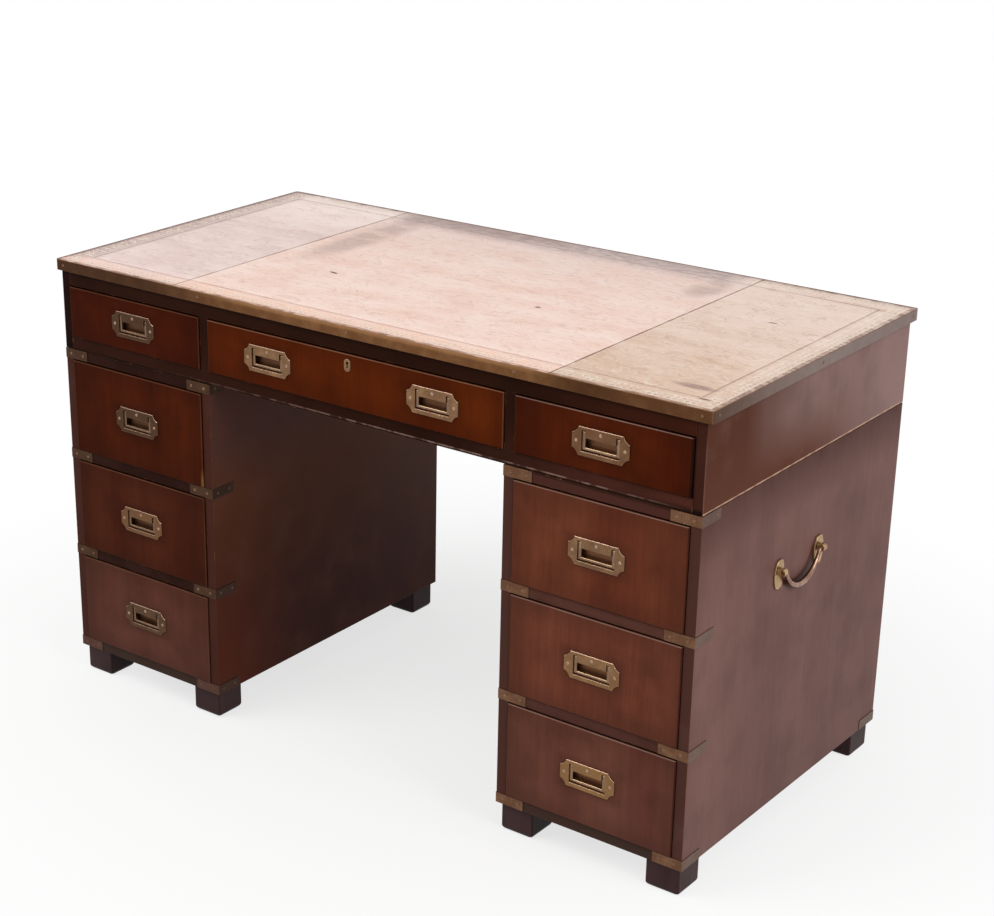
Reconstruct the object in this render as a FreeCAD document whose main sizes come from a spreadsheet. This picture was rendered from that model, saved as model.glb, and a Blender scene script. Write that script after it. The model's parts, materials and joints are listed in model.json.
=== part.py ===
"""Campaign desk: two drawer pedestals and a top section that lifts off them.

Millimetres. X runs to the right, Y to the back and Z up. The origin is on the floor, under the
middle of the desk. The desk is symmetrical about X = 0, apart from its lock.
"""

import FreeCAD
import Part

import math
import operator
import os

SIZES = {
    # the whole desk
    "desk_width": 1272,
    "desk_depth": 628,
    "side_overhang": 10,
    "front_overhang": 5,
    "back_overhang": 5,
    # pedestals, from the floor up
    "foot_height": 49,
    "rail_thickness": 17,
    "lower_opening": 163,
    "middle_opening": 164.5,
    "upper_opening": 166,
    # top section, from the pedestals up
    "section_gap": 1.2,
    "section_bottom_rail": 21.5,
    "section_opening": 90.8,
    "section_top_rail": 24,
    "top_thickness": 18,
    # carcass boards
    "pedestal_width": 333,
    "panel_thickness": 17,
    "back_thickness": 9,
    "rail_depth": 60,
    "runner_width": 28,
    "foot_width": 58,
    "foot_inset": 6,
    "foot_rounding": 3,
    "stop_length": 40,
    "stop_depth": 12,
    "stop_height": 5,
    "stop_spacing": 180,
    "stop_clearance": 0.3,
    "peg_radius": 5,
    "peg_embed": 12,
    "peg_length": 12,
    "peg_clearance": 0.3,
    "peg_spacing": 400,
    # the writing surface and its edging
    "leather_thickness": 1.2,
    "leather_seam": 367,
    "leather_seam_gap": 0.3,
    "band_thickness": 1.6,
    "band_corner": 6,
    "band_screw_inset": 16,
    "band_front_intervals": 4,
    "band_side_intervals": 2,
    # brass corner straps
    "strap_length": 50,
    "strap_thickness": 1,
    "strap_corner": 0.8,
    "strap_screw_near": 12,
    "strap_screw_far": 40,
    # drawers
    "drawer_rear_gap": 32,
    "drawer_proud": 3,
    "front_thickness": 20,
    "front_rounding": 2,
    "front_side_gap": 1.5,
    "front_bottom_gap": 1,
    "front_top_gap": 2.4,
    "side_thickness": 10,
    "side_clearance": 2,
    "side_drop": 14,
    "runner_clearance": 0.3,
    "bottom_thickness": 5,
    "bottom_raise": 9,
    "groove_depth": 4,
    "centre_handle_offset": 163,
    # recessed drawer handles
    "plate_width": 96,
    "plate_height": 44,
    "plate_thickness": 1.5,
    "plate_chamfer": 0.5,
    "scoop_radius": 16,
    "scoop_offset": 4.6,
    "recess_width": 64,
    "recess_height": 21,
    "recess_margin": 7,
    "recess_depth": 10,
    "cup_wall": 2,
    "slot_width": 6.5,
    "slot_height": 10.7,
    "slot_depth": 6.5,
    "pivot_height": 35,
    "pivot_depth": 2.4,
    "pin_radius": 1.25,
    "pin_length": 1.6,
    "pin_clearance": 0.05,
    "bail_thickness": 3.6,
    "bail_bar": 4,
    "bail_bottom_gap": 2,
    "bail_side_gap": 0.8,
    "bail_rounding": 1,
    "plate_screw_side": 40.7,
    "plate_screw_top": 14.5,
    # carrying handles on the outer sides
    "carry_drop": 160.5,
    "carry_forward": 11,
    "carry_spacing": 123,
    "carry_plate_width": 28,
    "carry_plate_height": 46,
    "carry_plate_taper": 62,
    "carry_plate_thickness": 2.5,
    "carry_plate_drop": 5,
    "carry_screw_spacing": 36,
    "knuckle_radius": 6,
    "knuckle_length": 9,
    "neck_height": 8,
    "carry_standoff": 8,
    "carry_pin_radius": 2.5,
    "carry_pin_length": 8,
    "carry_end_gap": 0.5,
    "carry_bar_radius": 3.9,
    "carry_shoulder_bend": 5,
    "carry_depth": 38,
    # lock of the centre drawer
    "lock_width": 44,
    "lock_thickness": 9,
    "lock_height": 34,
    "lock_wall": 1.5,
    "bolt_width": 18,
    "bolt_thickness": 4,
    "bolt_height": 18,
    "bolt_clearance": 0.3,
    "bolt_travel": 8,
    "mortise_clearance": 1,
    "escutcheon_width": 12.4,
    "escutcheon_height": 20.6,
    "escutcheon_thickness": 0.8,
    "escutcheon_drop": 17.6,
    "keyhole_radius": 2.5,
    "keyhole_rise": 3.5,
    "keyhole_slot": 2.4,
    "keyhole_drop": 5,
    # screws
    "screw_head_radius": 2.5,
    "screw_dome": 0.35,
    "screw_shank_radius": 1.4,
    "screw_shank_length": 10,
    "screw_slot": 0.7,
}

OPERATIONS = {
    "+": operator.add,
    "-": operator.sub,
    "*": operator.mul,
    "/": operator.truediv,
}
VECTORS = {
    "X": FreeCAD.Vector(1, 0, 0),
    "Y": FreeCAD.Vector(0, 1, 0),
    "Z": FreeCAD.Vector(0, 0, 1),
}


class Length:
    """A length, held both as the text that FreeCAD binds and as its number."""

    def __init__(self, text, number):
        self.text = text
        self.number = number

    def __add__(self, other):
        return combine(self, "+", other)

    def __radd__(self, other):
        return combine(other, "+", self)

    def __sub__(self, other):
        return combine(self, "-", other)

    def __rsub__(self, other):
        return combine(other, "-", self)

    def __mul__(self, other):
        return combine(self, "*", other)

    def __rmul__(self, other):
        return combine(other, "*", self)

    def __truediv__(self, other):
        return combine(self, "/", other)

    def __neg__(self):
        return combine(0, "-", self)


def as_length(value):
    if isinstance(value, Length):
        return value
    return Length(str(float(value)), float(value))


def combine(left, sign, right):
    left = as_length(left)
    right = as_length(right)
    number = OPERATIONS[sign](left.number, right.number)
    return Length(f"({left.text} {sign} {right.text})", number)


def arc_turn(rise, run):
    """The angle in degrees that an arc turns by when it leaves level and rises so far over a run."""
    slope = rise / run
    return Length(f"2 * atan({slope.text})", 2 * math.degrees(math.atan(slope.number)))


def write_sheet(doc):
    """Puts the driving sizes in a spreadsheet and gives them back as named lengths."""
    sheet = doc.addObject("Spreadsheet::Sheet", "Sizes")
    for row, (alias, number) in enumerate(SIZES.items(), start=1):
        sheet.set(f"A{row}", alias)
        sheet.set(f"B{row}", str(number))
        sheet.setAlias(f"B{row}", alias)
    doc.recompute()
    return {alias: Length(f"Sizes.{alias}", float(sheet.get(alias))) for alias in SIZES}


class SizeTable:
    """The sheet's sizes as attributes: size.desk_width and so on."""

    def __init__(self, lengths):
        self.__dict__.update(lengths)


doc = FreeCAD.newDocument("CampaignDesk")
size = SizeTable(write_sheet(doc))
nodes = []


# ---------------------------------------------------------------- shared builders


def bind(item, name, length):
    item.setExpression(name, as_length(length).text)


def place(item, x, y, z):
    for axis, length in zip("xyz", (x, y, z)):
        bind(item, f"Placement.Base.{axis}", length)
    return item


def fill_box(item, x, y, z):
    """Stretches a box between a low and a high length along each axis."""
    for side, (low, high) in zip(("Length", "Width", "Height"), (x, y, z)):
        bind(item, side, as_length(high) - low)
    return place(item, x[0], y[0], z[0])


def fill_rod(item, axis, radius, span, across):
    """Lays a cylinder along an axis, over a span, at its two other coordinates."""
    item.Placement.Rotation = FreeCAD.Rotation(VECTORS["Z"], VECTORS[axis])
    bind(item, "Radius", radius)
    bind(item, "Height", as_length(span[1]) - span[0])
    middle = iter(across)
    start = [span[0] if name == axis else next(middle) for name in "XYZ"]
    return place(item, *start)


def board(name, x, y, z):
    return fill_box(doc.addObject("Part::Box", name), x, y, z)


def rod(name, axis, radius, span, across):
    return fill_rod(doc.addObject("Part::Cylinder", name), axis, radius, span, across)


def gather(name, pieces):
    item = doc.addObject("Part::Compound", name)
    item.Links = pieces
    return item


def cut(name, base, tools):
    item = doc.addObject("Part::Cut", name)
    item.Base = base
    item.Tool = tools[0] if len(tools) == 1 else fuse(f"{name}_tools", tools)
    return item


def fuse(name, pieces):
    item = doc.addObject("Part::MultiFuse", name)
    item.Shapes = pieces
    return item


def common(name, first, second):
    item = doc.addObject("Part::Common", name)
    item.Base = first
    item.Tool = second
    return item


def mirror(name, source, axis, at=0):
    item = doc.addObject("Part::Mirroring", name)
    item.Source = source
    item.Normal = VECTORS[axis]
    bind(item, f"Base.{axis.lower()}", at)
    return item


def both_sides(name, pieces):
    """The right-hand pieces with their mirror images on the left."""
    right = gather(f"{name}_right", pieces)
    return gather(name, [right, mirror(f"{name}_left", right, "X")])


def node(label, item):
    """Names a finished sub-part, which gets a STEP file of its own."""
    item.Label = label
    nodes.append(item)
    return item


def make_body(name):
    return doc.addObject("PartDesign::Body", name)


def add_box(body, x, y, z):
    return fill_box(body.newObject("PartDesign::AdditiveBox", "Block"), x, y, z)


def cut_box(body, x, y, z):
    return fill_box(body.newObject("PartDesign::SubtractiveBox", "Pocket"), x, y, z)


def add_rod(body, axis, radius, span, across):
    item = body.newObject("PartDesign::AdditiveCylinder", "Boss")
    return fill_rod(item, axis, radius, span, across)


def cut_rod(body, axis, radius, span, across):
    item = body.newObject("PartDesign::SubtractiveCylinder", "Bore")
    return fill_rod(item, axis, radius, span, across)


def dress(body, kind, base, names, amount):
    """Rounds or chamfers the named edges or faces of a body's feature."""
    item = body.newObject(f"PartDesign::{kind}", kind)
    item.Base = (base, names)
    bind(item, "Radius" if kind == "Fillet" else "Size", amount)
    return item


def edges_along(item, axis):
    """The names of a shape's straight edges that run along an axis."""
    doc.recompute()
    names = []
    for number, edge in enumerate(item.Shape.Edges, start=1):
        if abs(edge.tangentAt(edge.FirstParameter).dot(VECTORS[axis])) > 0.999:
            names.append(f"Edge{number}")
    return names


def front_face(item):
    """The name of a shape's frontmost face across Y."""
    doc.recompute()
    faces = list(enumerate(item.Shape.Faces, start=1))
    number, _ = min(faces, key=lambda entry: entry[1].CenterOfMass.y)
    return f"Face{number}"


# ---------------------------------------------------------------- levels and lines

half_width = size.desk_width / 2 - size.side_overhang
front = -(size.desk_depth / 2 - size.front_overhang)
back = size.desk_depth / 2 - size.back_overhang
back_inside = back - size.back_thickness
rail_back = front + size.rail_depth
knee_side = half_width - size.pedestal_width
bay_inner = knee_side + size.panel_thickness
bay_outer = half_width - size.panel_thickness
pedestal_middle = half_width - size.pedestal_width / 2
carcass_middle = (front + back) / 2
face = front - size.drawer_proud
front_rear = face + size.front_thickness

bottom_rail = (size.foot_height, size.foot_height + size.rail_thickness)
lower_bay = (bottom_rail[1], bottom_rail[1] + size.lower_opening)
lower_rail = (lower_bay[1], lower_bay[1] + size.rail_thickness)
middle_bay = (lower_rail[1], lower_rail[1] + size.middle_opening)
upper_rail = (middle_bay[1], middle_bay[1] + size.rail_thickness)
upper_bay = (upper_rail[1], upper_rail[1] + size.upper_opening)
top_rail = (upper_bay[1], upper_bay[1] + size.rail_thickness)
pedestal_top = top_rail[1]

section_bottom = pedestal_top + size.section_gap
section_bay = (
    section_bottom + size.section_bottom_rail,
    section_bottom + size.section_bottom_rail + size.section_opening,
)
section_top = section_bay[1] + size.section_top_rail
desk_top = section_top + size.top_thickness


# ---------------------------------------------------------------- screws


def screw_shape(head_height):
    """One slotted wood screw along +Z, with the underside of its head at Z = 0."""
    radius = size.screw_head_radius.number
    dome = size.screw_dome.number
    slot = size.screw_slot.number
    shank_radius = size.screw_shank_radius.number
    shank_length = size.screw_shank_length.number
    head = Part.makeCylinder(radius, head_height)
    crown = Part.makeCone(radius, radius - dome, dome, FreeCAD.Vector(0, 0, head_height))
    shank = Part.makeCylinder(shank_radius, shank_length, FreeCAD.Vector(0, 0, -shank_length))
    corner = FreeCAD.Vector(-radius, -slot / 2, head_height)
    groove = Part.makeBox(2 * radius, slot, dome, corner)
    return head.fuse([crown, shank]).cut(groove).removeSplitter()


def screw_group(name, head_height, seats):
    """Equal screws as separate solids, each at a point and facing a direction."""
    pattern = screw_shape(head_height.number)
    screws = []
    for point, facing in seats:
        screw = pattern.copy()
        turn = FreeCAD.Rotation(VECTORS["Z"], facing)
        screw.Placement = FreeCAD.Placement(FreeCAD.Vector(*point), turn)
        screws.append(screw)
    item = doc.addObject("Part::Feature", name)
    item.Shape = Part.makeCompound(screws)
    item.Placement = FreeCAD.Placement()
    return item


# ---------------------------------------------------------------- pedestals


def pedestal_sides():
    rows = {"Outer_side": (bay_outer, half_width), "Inner_side": (knee_side, bay_inner)}
    height = (size.foot_height, pedestal_top)
    sides = [board(name, x, (front, back), height) for name, x in rows.items()]
    return node("pedestal_sides", both_sides("Sides", sides))


def pedestal_backs():
    panel = board(
        "Back_panel", (bay_inner, bay_outer), (back_inside, back), (size.foot_height, pedestal_top)
    )
    return node("pedestal_backs", both_sides("Backs", [panel]))


def peg_points():
    """The pegs' places on the right: over the outer runner, one behind the other."""
    x = bay_outer - size.runner_width / 2
    return [(x, carcass_middle + step * size.peg_spacing / 2) for step in (-1, 1)]


def pedestal_boards():
    depth = (front, back_inside)
    bottom = board("Bottom_board", (bay_inner, bay_outer), depth, bottom_rail)
    top_blank = board("Top_blank", (bay_inner, bay_outer), depth, top_rail)
    span = (pedestal_top - size.peg_embed, pedestal_top)
    holes = [rod("Peg_hole", "Z", size.peg_radius, span, point) for point in peg_points()]
    top = cut("Top_board", top_blank, holes)
    return node("pedestal_boards", both_sides("Boards", [bottom, top]))


def stop_pair(middle, floor):
    """Two blocks that a drawer front closes against."""
    depth = (front_rear + size.stop_clearance, front_rear + size.stop_clearance + size.stop_depth)
    height = (floor, floor + size.stop_height)
    pair = []
    for step in (-1, 1):
        centre = middle + step * size.stop_spacing / 2
        x = (centre - size.stop_length / 2, centre + size.stop_length / 2)
        pair.append(board("Stop", x, depth, height))
    return pair


def pedestal_rails():
    """The rails between the drawers, with the stops on them and on the bottom board."""
    bay = (bay_inner, bay_outer)
    pieces = [board("Rail", bay, (front, rail_back), level) for level in (lower_rail, upper_rail)]
    for opening in (lower_bay, middle_bay, upper_bay):
        pieces += stop_pair(pedestal_middle, opening[0])
    return node("pedestal_rails", both_sides("Rails", pieces))


def pedestal_runners():
    rows = (
        (bay_inner, bay_inner + size.runner_width),
        (bay_outer - size.runner_width, bay_outer),
    )
    runners = []
    for level in (lower_rail, upper_rail):
        for x in rows:
            runners.append(board("Runner", x, (rail_back, back_inside), level))
    return node("pedestal_runners", both_sides("Runners", runners))


def pedestal_feet():
    low_x = (knee_side + size.foot_inset, half_width - size.foot_inset - size.foot_width)
    low_y = (front + size.foot_inset, back - size.foot_inset - size.foot_width)
    feet = []
    for x in low_x:
        for y in low_y:
            foot = make_body("Foot")
            block = add_box(foot, (0, size.foot_width), (0, size.foot_width), (0, size.foot_height))
            upright = edges_along(block, "Z")
            dress(foot, "Fillet", block, upright + ["Face5"], size.foot_rounding)
            feet.append(place(foot, x, y, 0))
    return node("feet", both_sides("Feet", feet))


def locating_pegs():
    span = (pedestal_top - size.peg_embed, pedestal_top + size.peg_length)
    pegs = [rod("Peg", "Z", size.peg_radius, span, point) for point in peg_points()]
    return node("locating_pegs", both_sides("Pegs", pegs))


# ---------------------------------------------------------------- corner straps


def corner_strap(level):
    """An angle of thin brass round the right front corner, with its screw holes."""
    outside = half_width + size.strap_thickness
    ahead = front - size.strap_thickness
    strap = make_body("Strap")
    add_box(strap, (half_width - size.strap_length, outside), (ahead, front), level)
    leg = add_box(strap, (half_width, outside), (ahead, front + size.strap_length), level)
    doc.recompute()
    corner = []
    for number, edge in enumerate(leg.Shape.Edges, start=1):
        point = edge.CenterOfMass
        if abs(point.x - outside.number) < 1e-6 and abs(point.y - ahead.number) < 1e-6:
            corner.append(f"Edge{number}")
    dress(strap, "Fillet", leg, corner, size.strap_corner)
    middle = (level[0] + level[1]) / 2
    for inset in (size.strap_screw_near, size.strap_screw_far):
        across = (half_width - inset, middle)
        cut_rod(strap, "Y", size.screw_head_radius, (ahead, front), across)
        across = (front + inset, middle)
        cut_rod(strap, "X", size.screw_head_radius, (half_width, outside), across)
    return strap


def strap_screw_seats(level, corner_x, outward, corner_y, ahead):
    """The four screws of one strap. outward and ahead are the directions it faces."""
    middle = (level[0].number + level[1].number) / 2
    seats = []
    for inset in (size.strap_screw_near.number, size.strap_screw_far.number):
        seats.append(((corner_x - outward * inset, corner_y, middle), VECTORS["Y"] * ahead))
        seats.append(((corner_x, corner_y - ahead * inset, middle), VECTORS["X"] * outward))
    return seats


def corner_straps():
    """Straps at every level of the front corners, and one at the foot of each outer back corner."""
    levels = (bottom_rail, lower_rail, upper_rail, top_rail)
    outer = gather("Outer_straps", [corner_strap(level) for level in levels])
    inner = mirror("Inner_straps", outer, "X", pedestal_middle)
    back_strap = mirror("Back_strap", outer.Links[0], "Y", carcass_middle)
    return node("corner_straps", both_sides("Straps", [outer, inner, back_strap]))


def strap_screws():
    levels = (bottom_rail, lower_rail, upper_rail, top_rail)
    seats = []
    for side in (-1, 1):
        outer = side * half_width.number
        inner = side * knee_side.number
        for level in levels:
            seats += strap_screw_seats(level, outer, side, front.number, -1)
            seats += strap_screw_seats(level, inner, -side, front.number, -1)
        seats += strap_screw_seats(bottom_rail, outer, side, back.number, 1)
    screws = screw_group("Strap_screws", size.strap_thickness, seats)
    return node("strap_screws", screws)


# ---------------------------------------------------------------- top section


def section_ends():
    end = board("End", (bay_outer, half_width), (front, back), (section_bottom, section_top))
    return node("section_ends", both_sides("Ends", [end]))


def section_back():
    panel = board(
        "Section_back", (-bay_outer, bay_outer), (back_inside, back), (section_bottom, section_top)
    )
    return node("section_back", panel)


def lock_mortise():
    """The slot in the top rail that the lock's bolt rises into."""
    half = size.bolt_width / 2 + size.mortise_clearance
    middle = front_rear - size.lock_thickness / 2
    reach = size.bolt_thickness / 2 + size.mortise_clearance
    depth = (middle - reach, middle + reach)
    return board("Mortise", (-half, half), depth, (section_bay[1], section_bay[1] + size.bolt_travel))


def section_rails():
    """The two long rails with their drawer stops, and the partitions notched over them."""
    span = (-bay_outer, bay_outer)
    low = board("Section_low_rail", span, (front, rail_back), (section_bottom, section_bay[0]))
    blank = board("Section_top_blank", span, (front, rail_back), (section_bay[1], section_top))
    high = cut("Section_top_rail", blank, [lock_mortise()])
    upright = board(
        "Upright", (knee_side, bay_inner), (front, back_inside), (section_bottom, section_top)
    )
    partition = cut("Partition", upright, [low, blank])
    pair = both_sides("Partitions", [partition] + stop_pair(pedestal_middle, section_bay[0]))
    stops = stop_pair(as_length(0), section_bay[0])
    return node("section_rails", gather("Section_rails", [low, high, pair] + stops))


def section_runners():
    """Runners under the drawers and kickers over them. The outer runners bear on the pedestals."""
    depth = (rail_back, back_inside)
    bearing = (pedestal_top, section_bay[0])
    above = (section_bay[1], section_top)
    outer = (bay_outer - size.runner_width, bay_outer)
    inner = (bay_inner, bay_inner + size.runner_width)
    centre = (knee_side - size.runner_width, knee_side)
    blank = board("Outer_bearer", outer, depth, bearing)
    span = (pedestal_top, pedestal_top + size.peg_length + size.section_gap)
    radius = size.peg_radius + size.peg_clearance
    holes = [rod("Bearer_hole", "Z", radius, span, point) for point in peg_points()]
    pieces = [cut("Drilled_bearer", blank, holes), board("Inner_bearer", inner, depth, bearing)]
    pieces.append(board("Centre_runner", centre, depth, (section_bottom, section_bay[0])))
    pieces += [board("Kicker", x, depth, above) for x in (outer, inner, centre)]
    return node("section_runners", both_sides("Section_runners", pieces))


def rounded_slab(name, margin, corner):
    """The top's full outline, drawn in by a margin, with rounded corners."""
    half_x = size.desk_width / 2 - margin
    half_y = size.desk_depth / 2 - margin
    slab = make_body(name)
    block = add_box(slab, (-half_x, half_x), (-half_y, half_y), (section_top, desk_top))
    dress(slab, "Fillet", block, edges_along(block, "Z"), corner)
    return slab


def writing_top():
    """The board, the three panels of leather let into it and the brass band round them."""
    half_x = size.desk_width / 2
    half_y = size.desk_depth / 2
    leather_bottom = desk_top - size.leather_thickness
    outline = rounded_slab("Outline", 0, size.band_corner)
    core = rounded_slab("Core", size.band_thickness, size.band_corner - size.band_thickness)
    node("edge_band", cut("Edge_band", outline, [core]))
    lower = board("Board_part", (-half_x, half_x), (-half_y, half_y), (section_top, leather_bottom))
    node("top_board", common("Top_board_shape", core, lower))
    seam = size.leather_seam_gap / 2
    middle_edge = size.leather_seam - seam
    depth = (-half_y, half_y)
    height = (leather_bottom, desk_top)
    middle = board("Middle_part", (-middle_edge, middle_edge), depth, height)
    right = board("Right_part", (size.leather_seam + seam, half_x), depth, height)
    middle_panel = common("Middle_leather", core, middle)
    side_panels = both_sides("Side_leather", [common("Right_leather", core, right)])
    node("leather_panels", gather("Leather", [middle_panel, side_panels]))


def band_screw_seats():
    half_x = size.desk_width.number / 2 - size.band_thickness.number
    half_y = size.desk_depth.number / 2 - size.band_thickness.number
    reach_x = half_x - size.band_screw_inset.number
    reach_y = half_y - size.band_screw_inset.number
    height = (section_top.number + desk_top.number) / 2
    across = int(size.band_front_intervals.number)
    along = int(size.band_side_intervals.number)
    seats = []
    for sign in (-1, 1):
        for step in range(across + 1):
            x = reach_x * (2 * step / across - 1)
            seats.append(((x, sign * half_y, height), VECTORS["Y"] * sign))
        for step in range(along + 1):
            y = reach_y * (2 * step / along - 1)
            seats.append(((sign * half_x, y, height), VECTORS["X"] * sign))
    return seats


def band_screws():
    """Screws through the band. Their heads are let into it, so it is drilled to match."""
    seats = band_screw_seats()
    band = next(item for item in nodes if item.Label == "edge_band")
    holes = []
    for (x, y, z), facing in seats:
        axis = "X" if abs(facing.x) > 0.5 else "Y"
        half = (size.desk_width if axis == "X" else size.desk_depth) / 2
        sign = 1 if facing.dot(VECTORS[axis]) > 0 else -1
        inner = sign * (half - size.band_thickness)
        outer = sign * half
        span = (inner, outer) if sign > 0 else (outer, inner)
        across = (y, z) if axis == "X" else (x, z)
        holes.append(rod("Band_hole", axis, size.screw_head_radius, span, across))
    nodes.remove(band)
    band.Label = "Band_blank"
    node("edge_band", cut("Drilled_band", band, holes))
    return node("band_screws", screw_group("Band_screws", size.band_thickness, seats))


# ---------------------------------------------------------------- drawer handles

plate_bottom = -size.plate_height / 2
recess_low = plate_bottom + size.recess_margin
recess_high = recess_low + size.recess_height
slot_high = recess_high + size.slot_height
recess_half = size.recess_width / 2
cup_half = recess_half + size.cup_wall
cup_rear = size.recess_depth + size.cup_wall
cup_low = recess_low - size.cup_wall
cup_high = slot_high + size.cup_wall
pivot_z = plate_bottom + size.pivot_height


def handle_screw_places():
    return ((-size.plate_screw_side, 0), (size.plate_screw_side, 0), (0, size.plate_screw_top))


def handle_plate(name, x, z):
    """A cast plate with scooped corners, a finger cup, slots for the bail and three screws."""
    ahead = -size.plate_thickness
    half_x = size.plate_width / 2
    half_z = size.plate_height / 2
    plate = make_body(name)
    add_box(plate, (-half_x, half_x), (ahead, 0), (-half_z, half_z))
    for side in (-1, 1):
        for end in (-1, 1):
            centre = (side * (half_x + size.scoop_offset), end * (half_z + size.scoop_offset))
            scooped = cut_rod(plate, "Y", size.scoop_radius, (ahead, 0), centre)
    dress(plate, "Chamfer", scooped, [front_face(scooped)], size.plate_chamfer)
    add_box(plate, (-cup_half, cup_half), (0, cup_rear), (cup_low, cup_high))
    cut_box(plate, (-recess_half, recess_half), (ahead, size.recess_depth), (recess_low, recess_high))
    slot_y = (ahead, size.slot_depth)
    slot_z = (recess_high, slot_high)
    inner = recess_half - size.slot_width
    cut_box(plate, (-recess_half, -inner), slot_y, slot_z)
    cut_box(plate, (inner, recess_half), slot_y, slot_z)
    radius = size.pin_radius + size.pin_clearance
    for wall in ((-cup_half, -recess_half), (recess_half, cup_half)):
        cut_rod(plate, "X", radius, wall, (size.pivot_depth, pivot_z))
    for place_x, place_z in handle_screw_places():
        cut_rod(plate, "Y", size.screw_head_radius, (ahead, 0), (place_x, place_z))
    top_screw = (0, size.plate_screw_top)
    cut_rod(plate, "Y", size.screw_shank_radius, (0, cup_rear), top_screw)
    place(plate, x, face, z)
    seats = []
    for place_x, place_z in handle_screw_places():
        point = (as_length(place_x).number, 0, as_length(place_z).number)
        seats.append((point, -VECTORS["Y"]))
    screws = screw_group(f"{name}_screws", size.plate_thickness, seats)
    place(screws, x, face, z)
    return [plate, screws]


def handle_bail(name, x, z):
    """The swinging loop of a recessed handle, with the two stub pins that it turns on."""
    half = size.bail_thickness / 2
    depth = (size.pivot_depth - half, size.pivot_depth + half)
    reach = recess_half - size.bail_side_gap
    arm = size.slot_width - 2 * size.bail_side_gap
    low = recess_low + size.bail_bottom_gap
    pivot = (size.pivot_depth, pivot_z)
    bail = make_body(name)
    bar = add_box(bail, (-reach, reach), depth, (low, low + size.bail_bar))
    dress(bail, "Fillet", bar, edges_along(bar, "X"), size.bail_rounding)
    for x_range in ((-reach, arm - reach), (reach - arm, reach)):
        add_box(bail, x_range, depth, (low + size.bail_bar / 2, pivot_z))
        add_rod(bail, "X", half, x_range, pivot)
    tip = reach + size.bail_side_gap + size.pin_length
    add_rod(bail, "X", size.pin_radius, (-tip, arm - reach), pivot)
    add_rod(bail, "X", size.pin_radius, (reach - arm, tip), pivot)
    return place(bail, x, face, z)


# ---------------------------------------------------------------- drawers


def drawer_front(name, bay_x, height, handles, middle_z, lock):
    """A mahogany front with rounded arrises, let out behind for its handles, bottom and lock."""
    low_z, high_z = height
    floor = low_z - size.front_bottom_gap + size.runner_clearance + size.bottom_raise
    x = (bay_x[0] + size.front_side_gap, bay_x[1] - size.front_side_gap)
    item = make_body(f"{name}_front")
    blank = add_box(item, x, (face, front_rear), (low_z, high_z))
    dress(item, "Fillet", blank, ["Face3"], size.front_rounding)
    for handle_x in handles:
        across = (handle_x - cup_half, handle_x + cup_half)
        cut_box(item, across, (face, face + cup_rear), (middle_z + cup_low, middle_z + cup_high))
    groove_y = (front_rear - size.groove_depth, front_rear)
    cut_box(item, bottom_span(bay_x), groove_y, (floor, floor + size.bottom_thickness))
    if lock:
        lock_half = size.lock_width / 2
        depth = (front_rear - size.lock_thickness, front_rear)
        cut_box(item, (-lock_half, lock_half), depth, (high_z - size.lock_height, high_z))
        bore, slot = keyhole(high_z)
        cut_rod(item, "Y", size.keyhole_radius, (face, depth[0]), bore)
        cut_box(item, slot[0], (face, depth[0]), slot[1])
    return node(f"{name}_front", item)


def bottom_span(bay_x):
    """How far the drawer bottom reaches into the grooves of both sides."""
    inset = size.side_clearance + size.side_thickness - size.groove_depth
    return (bay_x[0] + inset, bay_x[1] - inset)


def drawer_box(name, bay_x, bay_z):
    """Two grooved sides, a back and a bottom, each its own board."""
    far = back_inside - size.drawer_rear_gap
    low = bay_z[0] + size.runner_clearance
    high = bay_z[1] - size.side_drop
    floor = low + size.bottom_raise
    panel = (floor, floor + size.bottom_thickness)
    left = bay_x[0] + size.side_clearance
    right = bay_x[1] - size.side_clearance
    groove = board("Groove", bottom_span(bay_x), (front_rear, far), panel)
    sides = []
    for x in ((left, left + size.side_thickness), (right - size.side_thickness, right)):
        blank = board("Side_blank", x, (front_rear, far), (low, high))
        sides.append(cut("Drawer_side", blank, [groove]))
    inside = (left + size.side_thickness, right - size.side_thickness)
    rear = board("Drawer_back", inside, (far - size.side_thickness, far), (panel[1], high))
    depth = (front_rear - size.groove_depth, far)
    bottom = board("Drawer_bottom", bottom_span(bay_x), depth, panel)
    return node(f"{name}_box", gather(f"{name}_box", sides + [rear, bottom]))


def drawer(name, bay_x, bay_z, handles, lock=False):
    """A drawer with its handles. handles maps each bail's node name to its X."""
    height = (bay_z[0] + size.front_bottom_gap, bay_z[1] - size.front_top_gap)
    middle_z = (height[0] + height[1]) / 2
    drawer_front(name, bay_x, height, handles.values(), middle_z, lock)
    drawer_box(name, bay_x, bay_z)
    plates = []
    for bail_name, handle_x in handles.items():
        plates += handle_plate(f"{name}_plate", handle_x, middle_z)
        node(bail_name, handle_bail(bail_name, handle_x, middle_z))
    node(f"{name}_handle_plate", gather(f"{name}_plates", plates))
    return height


def pedestal_drawers():
    rows = {"upper": upper_bay, "middle": middle_bay, "lower": lower_bay, "top": section_bay}
    for row, bay_z in rows.items():
        name = f"left_{row}_drawer"
        drawer(name, (-bay_outer, -bay_inner), bay_z, {f"{name}_bail": -pedestal_middle})
        name = f"right_{row}_drawer"
        drawer(name, (bay_inner, bay_outer), bay_z, {f"{name}_bail": pedestal_middle})


# ---------------------------------------------------------------- centre drawer's lock


def keyhole(high_z):
    """The keyhole's bore and slot, as places across Y, for a front that ends at high_z."""
    middle = high_z - size.escutcheon_drop
    bore_z = middle + size.keyhole_rise
    half = size.keyhole_slot / 2
    return (0, bore_z), ((-half, half), (middle - size.keyhole_drop, bore_z))


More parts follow.
